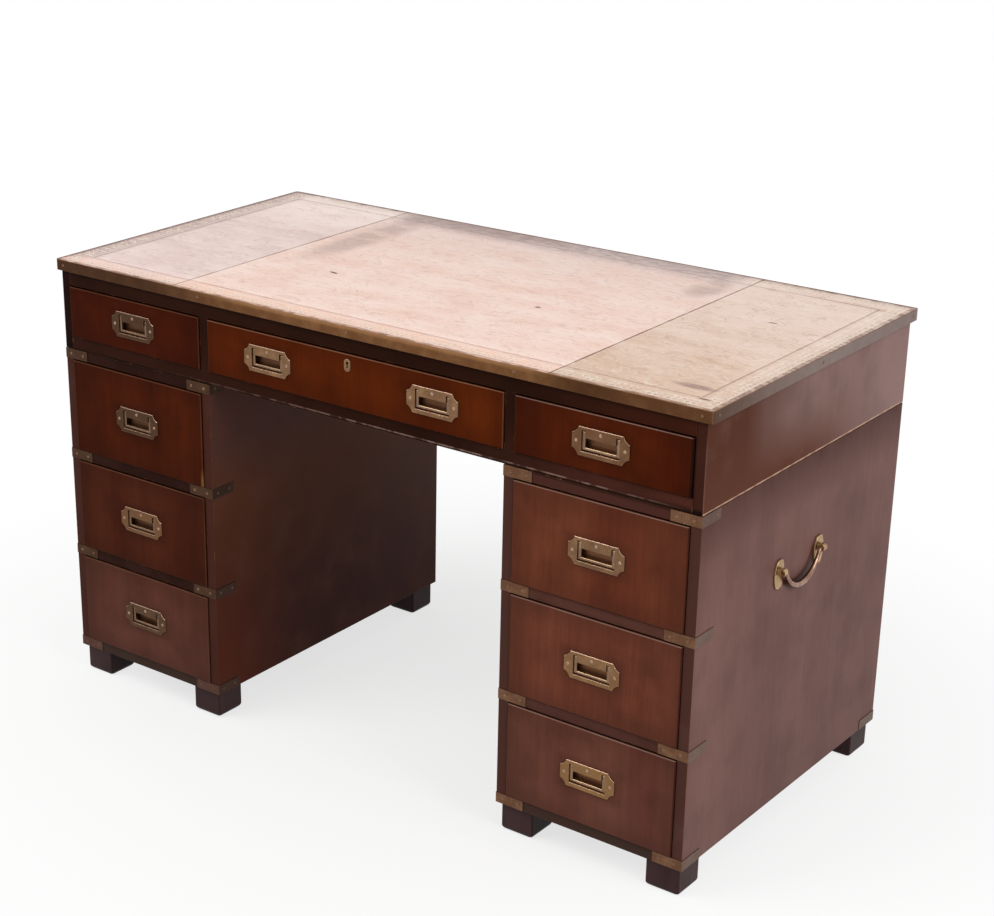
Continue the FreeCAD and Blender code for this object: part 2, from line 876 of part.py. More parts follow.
def lock_parts(high_z):
    half = size.lock_width / 2
    wall = size.lock_wall
    depth = (front_rear - size.lock_thickness, front_rear)
    low = high_z - size.lock_height
    bore, slot = keyhole(high_z)
    shell = board("Lock_shell", (-half, half), depth, (low, high_z))
    hollow = board(
        "Lock_hollow",
        (-half + wall, half - wall),
        (depth[0] + wall, depth[1] - wall),
        (low + wall, high_z - wall),
    )
    middle = front_rear - size.lock_thickness / 2
    bolt_half = size.bolt_width / 2
    bolt_reach = size.bolt_thickness / 2
    gap = size.bolt_clearance
    way = board(
        "Bolt_way",
        (-bolt_half - gap, bolt_half + gap),
        (middle - bolt_reach - gap, middle + bolt_reach + gap),
        (high_z - wall, high_z),
    )
    key_span = (depth[0], depth[0] + wall)
    key_bore = rod("Key_bore", "Y", size.keyhole_radius, key_span, bore)
    key_slot = board("Key_slot", slot[0], key_span, slot[1])
    node("lock_case", cut("Lock_case", shell, [hollow, way, key_bore, key_slot]))
    bolt = board(
        "Bolt",
        (-bolt_half, bolt_half),
        (middle - bolt_reach, middle + bolt_reach),
        (high_z - size.bolt_height, high_z),
    )
    node("lock_bolt", bolt)


def escutcheon(high_z):
    """A keyhole plate with round ends."""
    middle = high_z - size.escutcheon_drop
    radius = size.escutcheon_width / 2
    reach = size.escutcheon_height / 2 - radius
    depth = (face - size.escutcheon_thickness, face)
    bore, slot = keyhole(high_z)
    plate = make_body("Escutcheon")
    add_box(plate, (-radius, radius), depth, (middle - reach, middle + reach))
    for end in (middle - reach, middle + reach):
        add_rod(plate, "Y", radius, depth, (0, end))
    cut_rod(plate, "Y", size.keyhole_radius, depth, bore)
    cut_box(plate, slot[0], depth, slot[1])
    return node("escutcheon", plate)


def centre_drawer():
    name = "centre_drawer"
    bails = {
        "centre_drawer_left_bail": -size.centre_handle_offset,
        "centre_drawer_right_bail": size.centre_handle_offset,
    }
    height = drawer(name, (-knee_side, knee_side), section_bay, bails, lock=True)
    lock_parts(height[1])
    escutcheon(height[1])


# ---------------------------------------------------------------- carrying handles

carry_z = pedestal_top - size.carry_drop
carry_x = half_width + size.carry_standoff
carry_middle = -size.carry_forward
carry_plate_z = carry_z - size.carry_plate_drop


def carry_plate(y):
    """An oval back plate with blunt ends, and the knuckle that holds one end of the bail."""
    width = size.carry_plate_width
    taper = size.carry_plate_taper
    radius = (taper * taper + width * width) / (4 * width)
    offset = radius - width / 2
    span = (half_width, half_width + size.carry_plate_thickness)
    arcs = [rod("Arc", "X", radius, span, (y + side * offset, carry_plate_z)) for side in (-1, 1)]
    ends = rod("Ends", "X", size.carry_plate_height / 2, span, (y, carry_plate_z))
    oval = common("Blunt_oval", common("Pointed_oval", arcs[0], arcs[1]), ends)
    half = size.knuckle_length / 2
    span_y = (y - half, y + half)
    knuckle = rod("Knuckle", "Y", size.knuckle_radius, span_y, (carry_x, carry_z))
    neck_z = (carry_z - size.neck_height / 2, carry_z + size.neck_height / 2)
    neck = board("Neck", (half_width, carry_x), span_y, neck_z)
    bore_radius = size.carry_pin_radius + size.pin_clearance
    bore = rod("Knuckle_bore", "Y", bore_radius, span_y, (carry_x, carry_z))
    holes = [bore]
    for end in (-1, 1):
        screw_z = carry_plate_z + end * size.carry_screw_spacing / 2
        holes.append(rod("Carry_hole", "X", size.screw_head_radius, span, (y, screw_z)))
    return cut("Carry_plate", fuse("Carry_casting", [oval, knuckle, neck]), holes)


def carry_screws():
    seats = []
    for side in (-1, 1):
        for end in (-1, 1):
            y = carry_middle + side * size.carry_spacing / 2
            z = carry_plate_z + end * size.carry_screw_spacing / 2
            seats.append(((half_width.number, y.number, z.number), VECTORS["X"]))
    return screw_group("Carry_screws", size.carry_plate_thickness, seats)


def bent_bar(ring_radius, turn, start, end, y, z):
    """A round bar's bend that turns by an angle, from the direction start towards the direction end."""
    item = doc.addObject("Part::Torus", "Bend")
    item.Placement.Rotation = FreeCAD.Rotation(start, end, start.cross(end), "XYZ")
    bind(item, "Angle3", turn)
    bind(item, "Radius1", ring_radius)
    bind(item, "Radius2", size.carry_bar_radius)
    return place(item, carry_x, y, z)


def carry_bail():
    """Half of the bail, from its pin down to the middle of its grip, and the mirror image.

    A small bend turns the bar down from its pin, and one large arc leads it back to level.
    """
    up = VECTORS["Z"]
    rear = VECTORS["Y"]
    reach = size.carry_spacing / 2 - size.knuckle_length / 2 - size.carry_end_gap
    depth = size.carry_depth
    shoulder = carry_middle + reach
    pin_end = shoulder + size.carry_end_gap + size.carry_pin_length
    pin = rod("Carry_pin", "Y", size.carry_pin_radius, (shoulder, pin_end), (carry_x, carry_z))
    turn = arc_turn(depth, reach)
    small = size.carry_shoulder_bend
    large = (reach * reach + depth * depth) / (2 * depth) - small
    bend = bent_bar(small, turn, up, -rear, shoulder, carry_z - small)
    grip = bent_bar(large, turn, -up, rear, carry_middle, carry_z - depth + large)
    half = fuse("Half_bail", [pin, bend, grip])
    return fuse("Carry_bail", [half, mirror("Other_half", half, "Y", carry_middle)])


def carrying_handles():
    plates = [carry_plate(carry_middle + side * size.carry_spacing / 2) for side in (-1, 1)]
    node("carry_handle_plates", both_sides("Carry_plates", plates + [carry_screws()]))
    bail = node("right_carry_bail", carry_bail())
    node("left_carry_bail", mirror("Left_carry_bail", bail, "X"))


# ---------------------------------------------------------------- the desk


def build():
    pedestal_sides()
    pedestal_backs()
    pedestal_boards()
    pedestal_rails()
    pedestal_runners()
    pedestal_feet()
    locating_pegs()
    corner_straps()
    strap_screws()
    section_ends()
    section_back()
    section_rails()
    section_runners()
    writing_top()
    band_screws()
    pedestal_drawers()
    centre_drawer()
    carrying_handles()
    doc.recompute()


def check():
    """Stops if any object failed, or any sub-part isn't a sound closed solid."""
    for item in doc.Objects:
        if {"Invalid", "Error"} & set(item.State):
            raise RuntimeError(f"{item.Name} ({item.Label}) failed: {item.State}")
    for item in nodes:
        shape = item.Shape
        if shape.isNull() or not shape.isValid() or not shape.Solids:
            raise RuntimeError(f"{item.Label} has no valid solid")


def export():
    os.makedirs("parts", exist_ok=True)
    for item in nodes:
        item.Shape.exportStep(f"parts/{item.Label}.step")
    print(f"{len(nodes)} sub-parts, desk height {desk_top.number:g} mm")


build()
check()
export()
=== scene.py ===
# %% [markdown]
# # A campaign desk in Blender
#
# This desk comes apart for travel: a top section with three drawers stands on two pedestals with three drawers
# each. It is mahogany, bound with sunk brass at the corners, with brass handles that lie flush and a leather top.
# The solids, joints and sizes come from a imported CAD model. Here they get their finishes, and a few pieces that
# need a softer or finer shape than the solids have.

import json
from math import atan2, cos, pi, radians, sin

import bpy
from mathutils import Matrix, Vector, noise

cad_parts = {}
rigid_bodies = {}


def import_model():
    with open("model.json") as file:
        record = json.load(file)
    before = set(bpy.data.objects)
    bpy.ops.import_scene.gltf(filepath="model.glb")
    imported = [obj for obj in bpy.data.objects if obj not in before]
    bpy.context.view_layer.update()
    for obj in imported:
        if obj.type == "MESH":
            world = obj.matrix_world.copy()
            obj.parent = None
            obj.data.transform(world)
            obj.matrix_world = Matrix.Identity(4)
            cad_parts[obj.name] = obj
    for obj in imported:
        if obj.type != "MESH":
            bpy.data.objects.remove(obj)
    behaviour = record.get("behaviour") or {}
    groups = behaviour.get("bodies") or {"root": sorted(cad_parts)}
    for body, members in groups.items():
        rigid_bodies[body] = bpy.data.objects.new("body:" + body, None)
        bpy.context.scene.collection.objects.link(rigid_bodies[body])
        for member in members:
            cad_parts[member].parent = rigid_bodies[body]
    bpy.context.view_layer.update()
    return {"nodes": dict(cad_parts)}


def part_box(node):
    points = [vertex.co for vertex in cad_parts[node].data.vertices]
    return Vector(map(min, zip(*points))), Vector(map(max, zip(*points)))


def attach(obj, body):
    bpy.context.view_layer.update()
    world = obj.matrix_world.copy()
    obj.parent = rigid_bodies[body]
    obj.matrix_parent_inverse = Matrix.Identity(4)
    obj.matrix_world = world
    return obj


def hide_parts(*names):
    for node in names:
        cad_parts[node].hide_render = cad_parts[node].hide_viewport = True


for leftover in list(bpy.data.objects):
    bpy.data.objects.remove(leftover)
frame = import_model()

# %% [markdown]
# ## Units and colours
#
# Lengths are written in millimetres, as a maker says them, and turned to metres where they are used. A pattern's
# scale is "how many fit in a metre". Colours are written as sRGB hex, as on a paint card, and one function turns
# them to the linear light that Blender mixes.

# %% Millimetres and hex colours
MM = 0.001


def per_metre(size):
    """The texture scale that gives features of about this size in millimetres."""
    return 1 / (size * MM)


def linear(code):
    """An sRGB hex colour as linear RGBA."""
    parts = [int(code[i : i + 2], 16) / 255 for i in (1, 3, 5)]
    return (*[c / 12.92 if c < 0.04045 else ((c + 0.055) / 1.055) ** 2.4 for c in parts], 1.0)


print("mahogany brown #6A3626 is", [round(c, 3) for c in linear("#6A3626")])

# %% [markdown]
# ## One way to add a node
#
# A finish is a small network of nodes. This helper adds any kind of node, sets what it is told, and joins its
# inputs: a value goes on the socket, and another node's output is linked to it.

# %% Node helper


def add(tree, kind, inputs=(), **settings):
    """Adds a shader node and returns its outputs."""
    node = tree.nodes.new("ShaderNode" + kind)
    for setting, value in settings.items():
        setattr(node, setting, value)
    for socket, value in dict(inputs).items():
        if isinstance(value, bpy.types.NodeSocket):
            tree.links.new(value, node.inputs[socket])
        else:
            node.inputs[socket].default_value = value
    return node.outputs


def start_material(name):
    """An empty material, its node tree, and the place on the object in metres."""
    material = bpy.data.materials.new(name)
    material.use_nodes = True
    material.node_tree.nodes.clear()
    return material, material.node_tree, add(material.node_tree, "TexCoord")["Object"]


def finish_material(tree, surface):
    """Joins the surface's shader to the material's output."""
    add(tree, "OutputMaterial", {"Surface": surface[0]})


# %% [markdown]
# ## Steps that every finish repeats
#
# Four kinds of node come up again and again, so each gets a short name: blend two colours, remap a range of
# values, calculate, and draw noise of a given size.

# %% Common steps
WHITE = "#FFFFFF"


def blend(tree, tone, code, share):
    """The tone, mixed towards a hex colour by a share from 0 to 1."""
    return add(tree, "Mix", {0: share, 6: tone, 7: linear(code)}, data_type="RGBA")[2]


def remap(tree, value, start, end, new_start=0.0, new_end=1.0):
    """The value moved from one range to another, and held within it."""
    return add(tree, "MapRange", {0: value, 1: start, 2: end, 3: new_start, 4: new_end})[0]


def calc(tree, operation, *values, **settings):
    """A sum, a product or a comparison of values."""
    return add(tree, "Math", dict(enumerate(values)), operation=operation, **settings)[0]


def speckle(tree, vector, size, detail):
    """Noise from 0 to 1 with features of about this size in mm."""
    return add(tree, "TexNoise", {"Vector": vector, "Scale": per_metre(size), "Detail": detail})["Fac"]


# %% [markdown]
# ## Camera
#
# The desk is seen from its front right, a little above the writing surface, with a longish lens so that its lines
# stay nearly parallel. The small shift frames it without turning the camera, which keeps uprights upright.

# %% Camera
CAMERA_PLACE, CAMERA_TURN = (1.945417, -2.677503, 1.693552), (68.248, 0.149, 38.829)
LENS, SHIFT_X, SHIFT_Y = 76.235, 0.13095, 0.04911


def new_object(name, data):
    """Puts a camera, a lamp or a mesh in the scene."""
    made = bpy.data.objects.new(name, data)
    bpy.context.scene.collection.objects.link(made)
    return made


camera = new_object("camera", bpy.data.cameras.new("camera"))
bpy.context.scene.camera = camera
camera.location = CAMERA_PLACE
camera.rotation_euler = [radians(turn) for turn in CAMERA_TURN]
camera.data.lens, camera.data.shift_x, camera.data.shift_y = LENS, SHIFT_X, SHIFT_Y
bpy.context.scene.view_settings.view_transform = "Standard"
print("camera is", round(camera.location.length, 2), "m from the middle of the floor under the desk")

# %% [markdown]
# ## Floor and studio
#
# A pale floor keeps the desk's soft shadow close to the feet and fades to white further out, as a paper sweep
# does. Camera, mirror and glass rays see it and the sky as white. The light that falls on the desk comes from a
# dimmer sky and two large lamps, so a colour on the top looks about as it is written.

# %% Floor
# half its width, and how far from its middle the shadow is full and gone, in metres
FLOOR_HALF, SHADOW_FULL, SHADOW_GONE = 15.0, 0.5, 1.3
NEAR_GLOW = 0.72


def seen_rays(tree):
    """1 for camera, mirror and glass rays, and 0 for the light that falls on things."""
    rays = add(tree, "LightPath")
    mirrored = calc(tree, "MAXIMUM", rays["Is Glossy Ray"], rays["Is Transmission Ray"])
    return calc(tree, "MAXIMUM", rays["Is Camera Ray"], mirrored)


floor_mesh = bpy.data.meshes.new("floor")
corners = [(-1, -1), (1, -1), (1, 1), (-1, 1)]
floor_mesh.from_pydata([(x * FLOOR_HALF, y * FLOOR_HALF, 0) for x, y in corners], [], [(0, 1, 2, 3)])
floor = new_object("floor", floor_mesh)

sweep, tree, place = start_material("paper_sweep")
seen = seen_rays(tree)
level = add(tree, "VectorMath", {0: place, 1: (1.0, 1.0, 0.0)}, operation="MULTIPLY")[0]
far = add(tree, "VectorMath", {0: level}, operation="LENGTH")["Value"]
glow = calc(tree, "MULTIPLY", seen, remap(tree, far, SHADOW_FULL, SHADOW_GONE, NEAR_GLOW, 1.0))
paper = add(tree, "BsdfDiffuse", {"Color": linear("#F4F3F1")})
white = add(tree, "Emission", {"Color": linear(WHITE), "Strength": 1.0})
finish_material(tree, add(tree, "MixShader", {0: glow, 1: paper[0], 2: white[0]}))
floor_mesh.materials.append(sweep)
print("floor is", 2 * FLOOR_HALF, "m wide")

# %% Sky
SKY_LEVEL = 0.42
studio = bpy.data.worlds.new("studio")
studio.use_nodes = True
bpy.context.scene.world = studio
tree = studio.node_tree
tree.nodes.clear()
sky = blend(tree, (SKY_LEVEL, SKY_LEVEL, SKY_LEVEL, 1), WHITE, seen_rays(tree))
background = add(tree, "Background", {"Color": sky, "Strength": 1.0})
add(tree, "OutputWorld", {"Surface": background[0]})
print("sky gives", SKY_LEVEL, "of white")

# %% Lamps
AIM = Vector((0, 0, 0.5))


def soft_lamp(name, spot, side, level):
    """A square lamp aimed at the desk. level is the grey it alone would give a white card at the desk."""
    lamp = new_object(name, bpy.data.lights.new(name, "AREA"))
    lamp.location = spot
    away = AIM - Vector(spot)
    lamp.rotation_euler = away.to_track_quat("-Z", "Y").to_euler()
    lamp.data.shape = "SQUARE"
    lamp.data.size = side
    lamp.data.energy = level * pi**2 * away.length_squared
    print(name, "gives", round(lamp.data.energy), "W from", round(away.length, 2), "m")


soft_lamp("front_left_lamp", spot=(-1.6, -2.4, 3.4), side=2.4, level=0.50)
soft_lamp("right_lamp", spot=(3.6, -0.6, 2.4), side=2.2, level=0.48)

# %% [markdown]
# ## Mahogany
#
# The fronts, sides and backs are straight-grained mahogany, stained red-brown and French polished: thin coats of
# shellac rubbed on with a pad, which leave a soft gloss and follow the pores. Its figure has broad bands, narrow
# ribbons where the grain leans to and fro, fine streaks, and short dark pores. Real pores are 0.2 mm wide, and
# are drawn about five times as coarse so that they show. All of it is noise that is stretched along the grain.

# %% Grain
FIGURE, RIBBON, STREAK, PORE = 85, 10, 2.6, 1.0
# how much of a pattern's scale is left along the grain
ALONG, PORE_ALONG = 0.05, 0.2
SWAY, WANDER = 16, 400


def grain_patterns(tree, place, grain, shift):
    """Band, ribbon, streak and pore noise along one axis, each about 0.5 on average."""
    wander = add(tree, "TexNoise", {"Vector": place, "Scale": per_metre(WANDER), "Detail": 1.0})["Color"]
    bend = (SWAY * MM,) * 3
    bent = add(tree, "VectorMath", {0: wander, 1: bend, 2: place}, operation="MULTIPLY_ADD")[0]
    stretched = []
    for along in (ALONG, PORE_ALONG):
        scale = [along if axis == grain else 1.0 for axis in "XYZ"]
        stretched += add(tree, "Mapping", {"Vector": bent, "Location": (shift,) * 3, "Scale": scale})
    fibre, dash = stretched
    sizes = ((fibre, FIGURE), (fibre, RIBBON), (fibre, STREAK), (dash, PORE))
    return [speckle(tree, vector, size, 2.0) for vector, size in sizes]


# %% [markdown]
# ## Age, and painted light and shade
#
# Age adds three things, which also carry painted light. A grey film laid by region is a painted reflection of the
# pale floor. Brown wax and dust gather where two parts meet, which ambient occlusion finds, and the same darkening
# is painted shade in those corners and gaps. The arrises are rubbed thin, painted lighter as a painted highlight,
# and chipped to bare ochre wood: they are where the rounded normal of a Bevel node parts from the flat one.

# %% Edges, grime, painted shade and wear
SIDE_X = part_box("pedestal_sides")[1].x / MM
BARE_WOOD = "#BA8650"
WORN_WOOD = "#B8957F"
# dark wax dirt, which is also painted shade in corners and gaps, and the colour of the bail's painted shadow
WAX_DIRT_AND_SHADE, BAIL_SHADOW_TONE = "#120705", "#3E150A"
# polish rubbed thin on the arrises, and also a painted highlight there
RUBBED_POLISH_AND_HIGHLIGHT = "#8A5638"
# how well the two normals agree at an arris, and how open a corner and a free face are
EDGE_BEGINS, EDGE_FULL = 0.985, 0.8
CLOSED, FREE = 0.35, 0.93


def edge_mask(tree, radius):
    """The rounded normal, and 1 on arrises that fades to 0 on the flat."""
    rounded = add(tree, "Bevel", {"Radius": radius * MM}, samples=4)[0]
    flat = add(tree, "NewGeometry")["Normal"]
    agree = add(tree, "VectorMath", {0: rounded, 1: flat}, operation="DOT_PRODUCT")["Value"]
    return rounded, remap(tree, agree, EDGE_BEGINS, EDGE_FULL)


# Ambient occlusion: on wood its darkening is wax dirt and painted shade, on brass it is dried polish.
def crevice_mask(tree, reach, strength):
    """Up to strength in corners within this reach in mm, and 0 on open faces."""
    open_air = add(tree, "AmbientOcclusion", {"Distance": reach * MM}, samples=4)["AO"]
    return remap(tree, open_air, CLOSED, FREE, strength, 0.0)


# %% [markdown]
# ## Fading by place
#
# Sun, hands and wax don't change a face evenly, and light and shade don't fall on it evenly. This function lays
# one colour over another within limits, which are places in the desk or the way a face looks, so it paints fading
# and wear, and also painted light and shade.

# %% Fading
# limits of the faces that look this way
TO_RIGHT, TO_FRONT, TO_BACK = ("nx", 0.5, 0.9), ("ny", -0.5, -0.9), ("ny", 0.5, 0.9)


def fade(tree, place, tone, regions, cloud=1.0, normal=None):
    """Mixes a tone towards other colours by region.

    A region is (limits, colour, share). Each limit is (what, start, full): what is "x", "y", "z" or "|x|" for a
    place in mm, or "nx", "ny" or "nz" for the way the face looks. The share grows from nothing where any limit is
    at its start to all of it where every limit is full.
    """
    normal = normal or add(tree, "TexCoord")["Normal"]
    for limits, colour, share in regions:
        amount = calc(tree, "MULTIPLY", share, cloud, use_clamp=True)
        for what, start, full in limits:
            facing = what.startswith("n")
            unit = 1 if facing else MM
            value = add(tree, "SeparateXYZ", {0: normal if facing else place})[what.strip("n|").upper()]
            if "|" in what:
                value = calc(tree, "ABSOLUTE", value)
            amount = calc(tree, "MULTIPLY", amount, remap(tree, value, start * unit, full * unit))
        tone = blend(tree, tone, colour, amount)
    return tone


# %% Painted shadow behind a handle
RING_DEPTH, SKIN = 0.8, 0.5


def bail_shadow_mask(tree, place, y, z, radius, half_width):
    """A soft ring of painted shadow, the hanging bail's, around (y, z) on the outermost faces, open at its top."""
    flat = add(tree, "Mapping", {"Vector": place, "Location": (0, -y * MM, -z * MM), "Scale": (0, 1, 1)})[0]
    away = add(tree, "VectorMath", {0: flat}, operation="LENGTH")["Value"]
    off = calc(tree, "ABSOLUTE", calc(tree, "SUBTRACT", away, radius * MM))
    ring = remap(tree, off, 1.5 * half_width * MM, 0.6 * half_width * MM, 0.0, RING_DEPTH)
    spot = add(tree, "SeparateXYZ", {0: place})
    low = remap(tree, spot["Z"], z * MM, (z - radius / 3) * MM)
    outer = calc(tree, "GREATER_THAN", calc(tree, "ABSOLUTE", spot["X"]), (SIDE_X - SKIN) * MM)
    return calc(tree, "MULTIPLY", ring, calc(tree, "MULTIPLY", low, outer))


# %% Polished timber
BLOTCH, KNOCK, ARRIS, WAX_AND_SHADE_REACH, PORE_DEPTH = 75, 16, 1.5, 9, 0.12


def timber(
    name, leaf, regions=(), grain="Z", chips=0.5, rough=0.4, specular=0.3, grime=0.7, contrast=1.0,
    arris=0.4, worn=None, shadow_ring=None, shift=0.0,
):
    """A wood of one recipe: grain, dye, fading, wax dirt and painted shade in the corners, and thin polish, a
    painted highlight and bare wood on arrises.

    leaf holds the dark, middle and light tone, and regions where it has faded or where light and shade are
    painted, as fade() takes them. worn is a line that is rubbed pale: its height, half its width, its colour, how
    whole it is from 0 to 1, and its limits. The shadow ring is the painted shadow of the hanging bail on the outer
    faces: the y and z of its middle, its radius and half width.
    """
    dark, middle, light = leaf
    material, tree, place = start_material(name)

    bands, ribbons, streaks, pores = grain_patterns(tree, place, grain, shift)
    tone = blend(tree, linear(middle), light, remap(tree, bands, 0.35, 0.65))
    for pattern, low, high, depth in (
        (ribbons, 0.4, 0.75, 0.2), (streaks, 0.45, 0.8, 0.2), (pores, 0.56, 0.75, 0.3),
    ):
        tone = blend(tree, tone, dark, remap(tree, pattern, low, high, 0.0, depth * contrast))
    blotch = speckle(tree, place, BLOTCH, 4.0)
    tone = blend(tree, tone, dark, remap(tree, blotch, 0.44, 0.7, 0.0, 0.42))
    tone = fade(tree, place, tone, regions, remap(tree, blotch, 0.3, 0.7, 1.3, 0.7))
    # the painted shadow of the hanging carrying bail
    if shadow_ring is not None:
        tone = blend(tree, tone, BAIL_SHADOW_TONE, bail_shadow_mask(tree, place, *shadow_ring))

    rounded, edge = edge_mask(tree, ARRIS)
    # wax dirt and painted shade where parts meet
    tone = blend(tree, tone, WAX_DIRT_AND_SHADE, crevice_mask(tree, WAX_AND_SHADE_REACH, grime))
    # arrises painted lighter: thin polish and a painted highlight
    tone = blend(tree, tone, RUBBED_POLISH_AND_HIGHLIGHT, calc(tree, "MULTIPLY", edge, arris))
    bumps = speckle(tree, place, KNOCK, 3.0)
    bare = calc(tree, "MULTIPLY", edge, remap(tree, bumps, 0.6, 0.68, 0.0, chips))
    tone = blend(tree, tone, BARE_WOOD, bare)
    if worn is not None:
        level, half_width, colour, whole, limits = worn
        height = add(tree, "SeparateXYZ", {0: place})["Z"]
        line = calc(tree, "COMPARE", height, level * MM, half_width * MM)
        line = calc(tree, "MULTIPLY", line, remap(tree, bumps, 0.42, 0.58, whole, 1.0))
        tone = fade(tree, place, tone, [(limits, colour, 0.9)], line)

    gloss = remap(tree, streaks, 0.3, 0.7, rough - 0.05, rough + 0.07)
    gloss = calc(tree, "MULTIPLY_ADD", bare, 0.25, gloss, use_clamp=True)
    relief = calc(tree, "ADD", pores, streaks)
    relief = {"Strength": 0.2, "Distance": PORE_DEPTH * MM, "Height": relief, "Normal": rounded}
    relief = add(tree, "Bump", relief, invert=True)[0]
    surface = {"Base Color": tone, "Roughness": gloss, "Normal": relief, "Specular IOR Level": specular}
    finish_material(tree, add(tree, "BsdfPrincipled", surface))
    return material


def ending(word):
    """The CAD nodes whose names end in this word."""
    return [name for name in frame["nodes"] if name.endswith(word)]


def dress(material, *nodes):
    """Gives CAD nodes this material."""
    for name in nodes:
        for slot in frame["nodes"][name].material_slots:
            slot.material = material
    print(material.name, "on", len(nodes), "nodes")


# %% [markdown]
# ## Drawer fronts
#
# Each front is faced with its own leaf of veneer, so the nine differ a little. Their tones also hold painted
# light:
# those on the right are painted lighter, as the light falls from the right, and the low ones have a greyer film, a
# painted reflection of the pale floor. One recipe makes them all, with three tones each.

# %% Veneer of the fronts
# each front's own leaf, painted lighter on the right, where the light comes from, and low down, a painted
# reflection
FRONT_LEAVES_AS_LIT = {
    "left_top": ("#240903", "#451503", "#501B06"),
    "centre": ("#300F03", "#521C03", "#5F2506"),
    "right_top": ("#2A0C04", "#4A1805", "#56210A"),
    "left_upper": ("#240A03", "#441704", "#4F1E08"),
    "left_middle": ("#28100A", "#471D0E", "#532614"),
    "left_lower": ("#361F18", "#593024", "#653B2D"),
    "right_upper": ("#3C2017", "#643120", "#6F3B28"),
    "right_middle": ("#3C2119", "#643427", "#713F2E"),
    "right_lower": ("#3A221B", "#613429", "#6E4132"),
}
PLATE_WIDTH = 96


def handle_spots(drawer):
    """The x and z of the middle of each handle on a drawer."""
    low, high = (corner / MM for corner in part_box(f"{drawer}_drawer_handle_plate"))
    xs = {round(low.x + PLATE_WIDTH / 2, 1), round(high.x - PLATE_WIDTH / 2, 1)}
    return [(x, (low.z + high.z) / 2) for x in sorted(xs)]


def halo(x, z):
    """The limits of the old wax around a plate, which cloths went round."""
    return [("x", x - 66, x - 49), ("x", x + 66, x + 49), ("z", z - 36, z - 23), ("z", z + 34, z + 23)]


for order, (drawer, leaf) in enumerate(FRONT_LEAVES_AS_LIT.items()):
    low, high = (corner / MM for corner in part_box(f"{drawer}_drawer_front"))
    left, right = drawer.startswith("left"), drawer.startswith("right")
    front_face = ("ny", -0.05, -0.3)
    front_regions = [
        # the low fronts' grey film, a painted reflection of the pale floor
        ([("z", 260, 60)], "#63494A", 0.16),
        ([("x", low.x + 45, low.x)], leaf[0], 0.4),
        ([("x", high.x - 40, high.x)], leaf[0], 0.3),
        ([("z", low.z + 35, low.z)], leaf[0], 0.3),
        ([("z", high.z - 30, high.z)], leaf[0], 0.3),
        # painted highlights on the arrises that look left and up, painted shade on those that look right on the
        # right-hand fronts, and highlights there on the rest
        ([("nx", -0.2, -0.5), front_face], "#744430", 0.3),
        ([("nx", 0.2, 0.5), front_face], "#38160F" if right else "#7C5440", 0.3 if left else 0.5),
        ([("nz", 0.3, 0.7), front_face], "#A08274" if right else "#946C54", 0.25 if left else 0.55),
    ]
    if drawer == "right_top":
        # painted shadow along the right edge of this front
        front_regions.append(([("x", high.x - 4, high.x - 2)], "#1A0C07", 0.85))
    if drawer == "left_upper":
        front_regions.append(([("x", high.x - 5, high.x - 2), ("z", 462, 440)], BARE_WOOD, 0.3))
    front_regions += [(halo(x, z), leaf[0], 0.28) for x, z in handle_spots(drawer)]
    look = {"rough": 0.34, "specular": 0.02, "shift": order * 3.7}
    veneer = timber(f"mahogany_veneer_{drawer}", leaf, front_regions, **look)
    dress(veneer, f"{drawer}_drawer_front")

# %% [markdown]
# ## Carcass
#
# The sides and backs are broad panels whose grain runs up and down. The outer faces are painted greyer, a painted
# reflection of the pale floor, and the faces in the knee hole are painted dark and red, as painted shade. The
# front edges of the panels, like the rails and boards between the drawers, are darker than the fronts. The ends of
# the top section are rubbed to bare wood along their lower edges, where they are gripped and set down.

# %% Sides of the pedestals
INNER = ("|x|", 600, 560)
# the sides' tones are painted greyish: a painted reflection of the pale floor
side_sheen_tones = ("#4E332E", "#6A4944", "#74524B")
side_regions = [
    # darker just below the top section and towards the front: a painted dark reflection
    ([("z", 530, 612)], "#3C180E", 0.78),
    ([("y", -150, -309), ("z", 400, 600)], "#45231B", 0.5),
    # the knee hole's faces are painted dark and red: painted shade that changes with height and depth
    ([INNER], "#603621", 1.0),
    ([INNER, ("z", 500, 180)], "#3D1A13", 0.85),
    ([INNER, ("z", 400, 500)], "#4C3230", 0.7),
    ([INNER, ("z", 60, 320), ("y", 60, 320)], "#5A403A", 0.6),
    ([INNER, ("z", 340, 120), ("y", -100, -260)], "#50200F", 0.8),
    ([TO_BACK], "#5E3E37", 1.0),
    ([TO_FRONT], "#492B24", 1.0),
    # front edges on the left painted darker, away from the light
    ([TO_FRONT, ("x", 0, -200)], "#401F15", 1.0),
]
# y and z of the middle of the painted shadow ring behind the hanging bail, its radius and its half width
BAIL_SHADOW_RING = (-19, 471, 56, 5)
panel = timber(
    "mahogany_side", side_sheen_tones, side_regions, specular=0.05, rough=0.36, contrast=0.6, shadow_ring=BAIL_SHADOW_RING
)
dress(panel, "pedestal_sides")

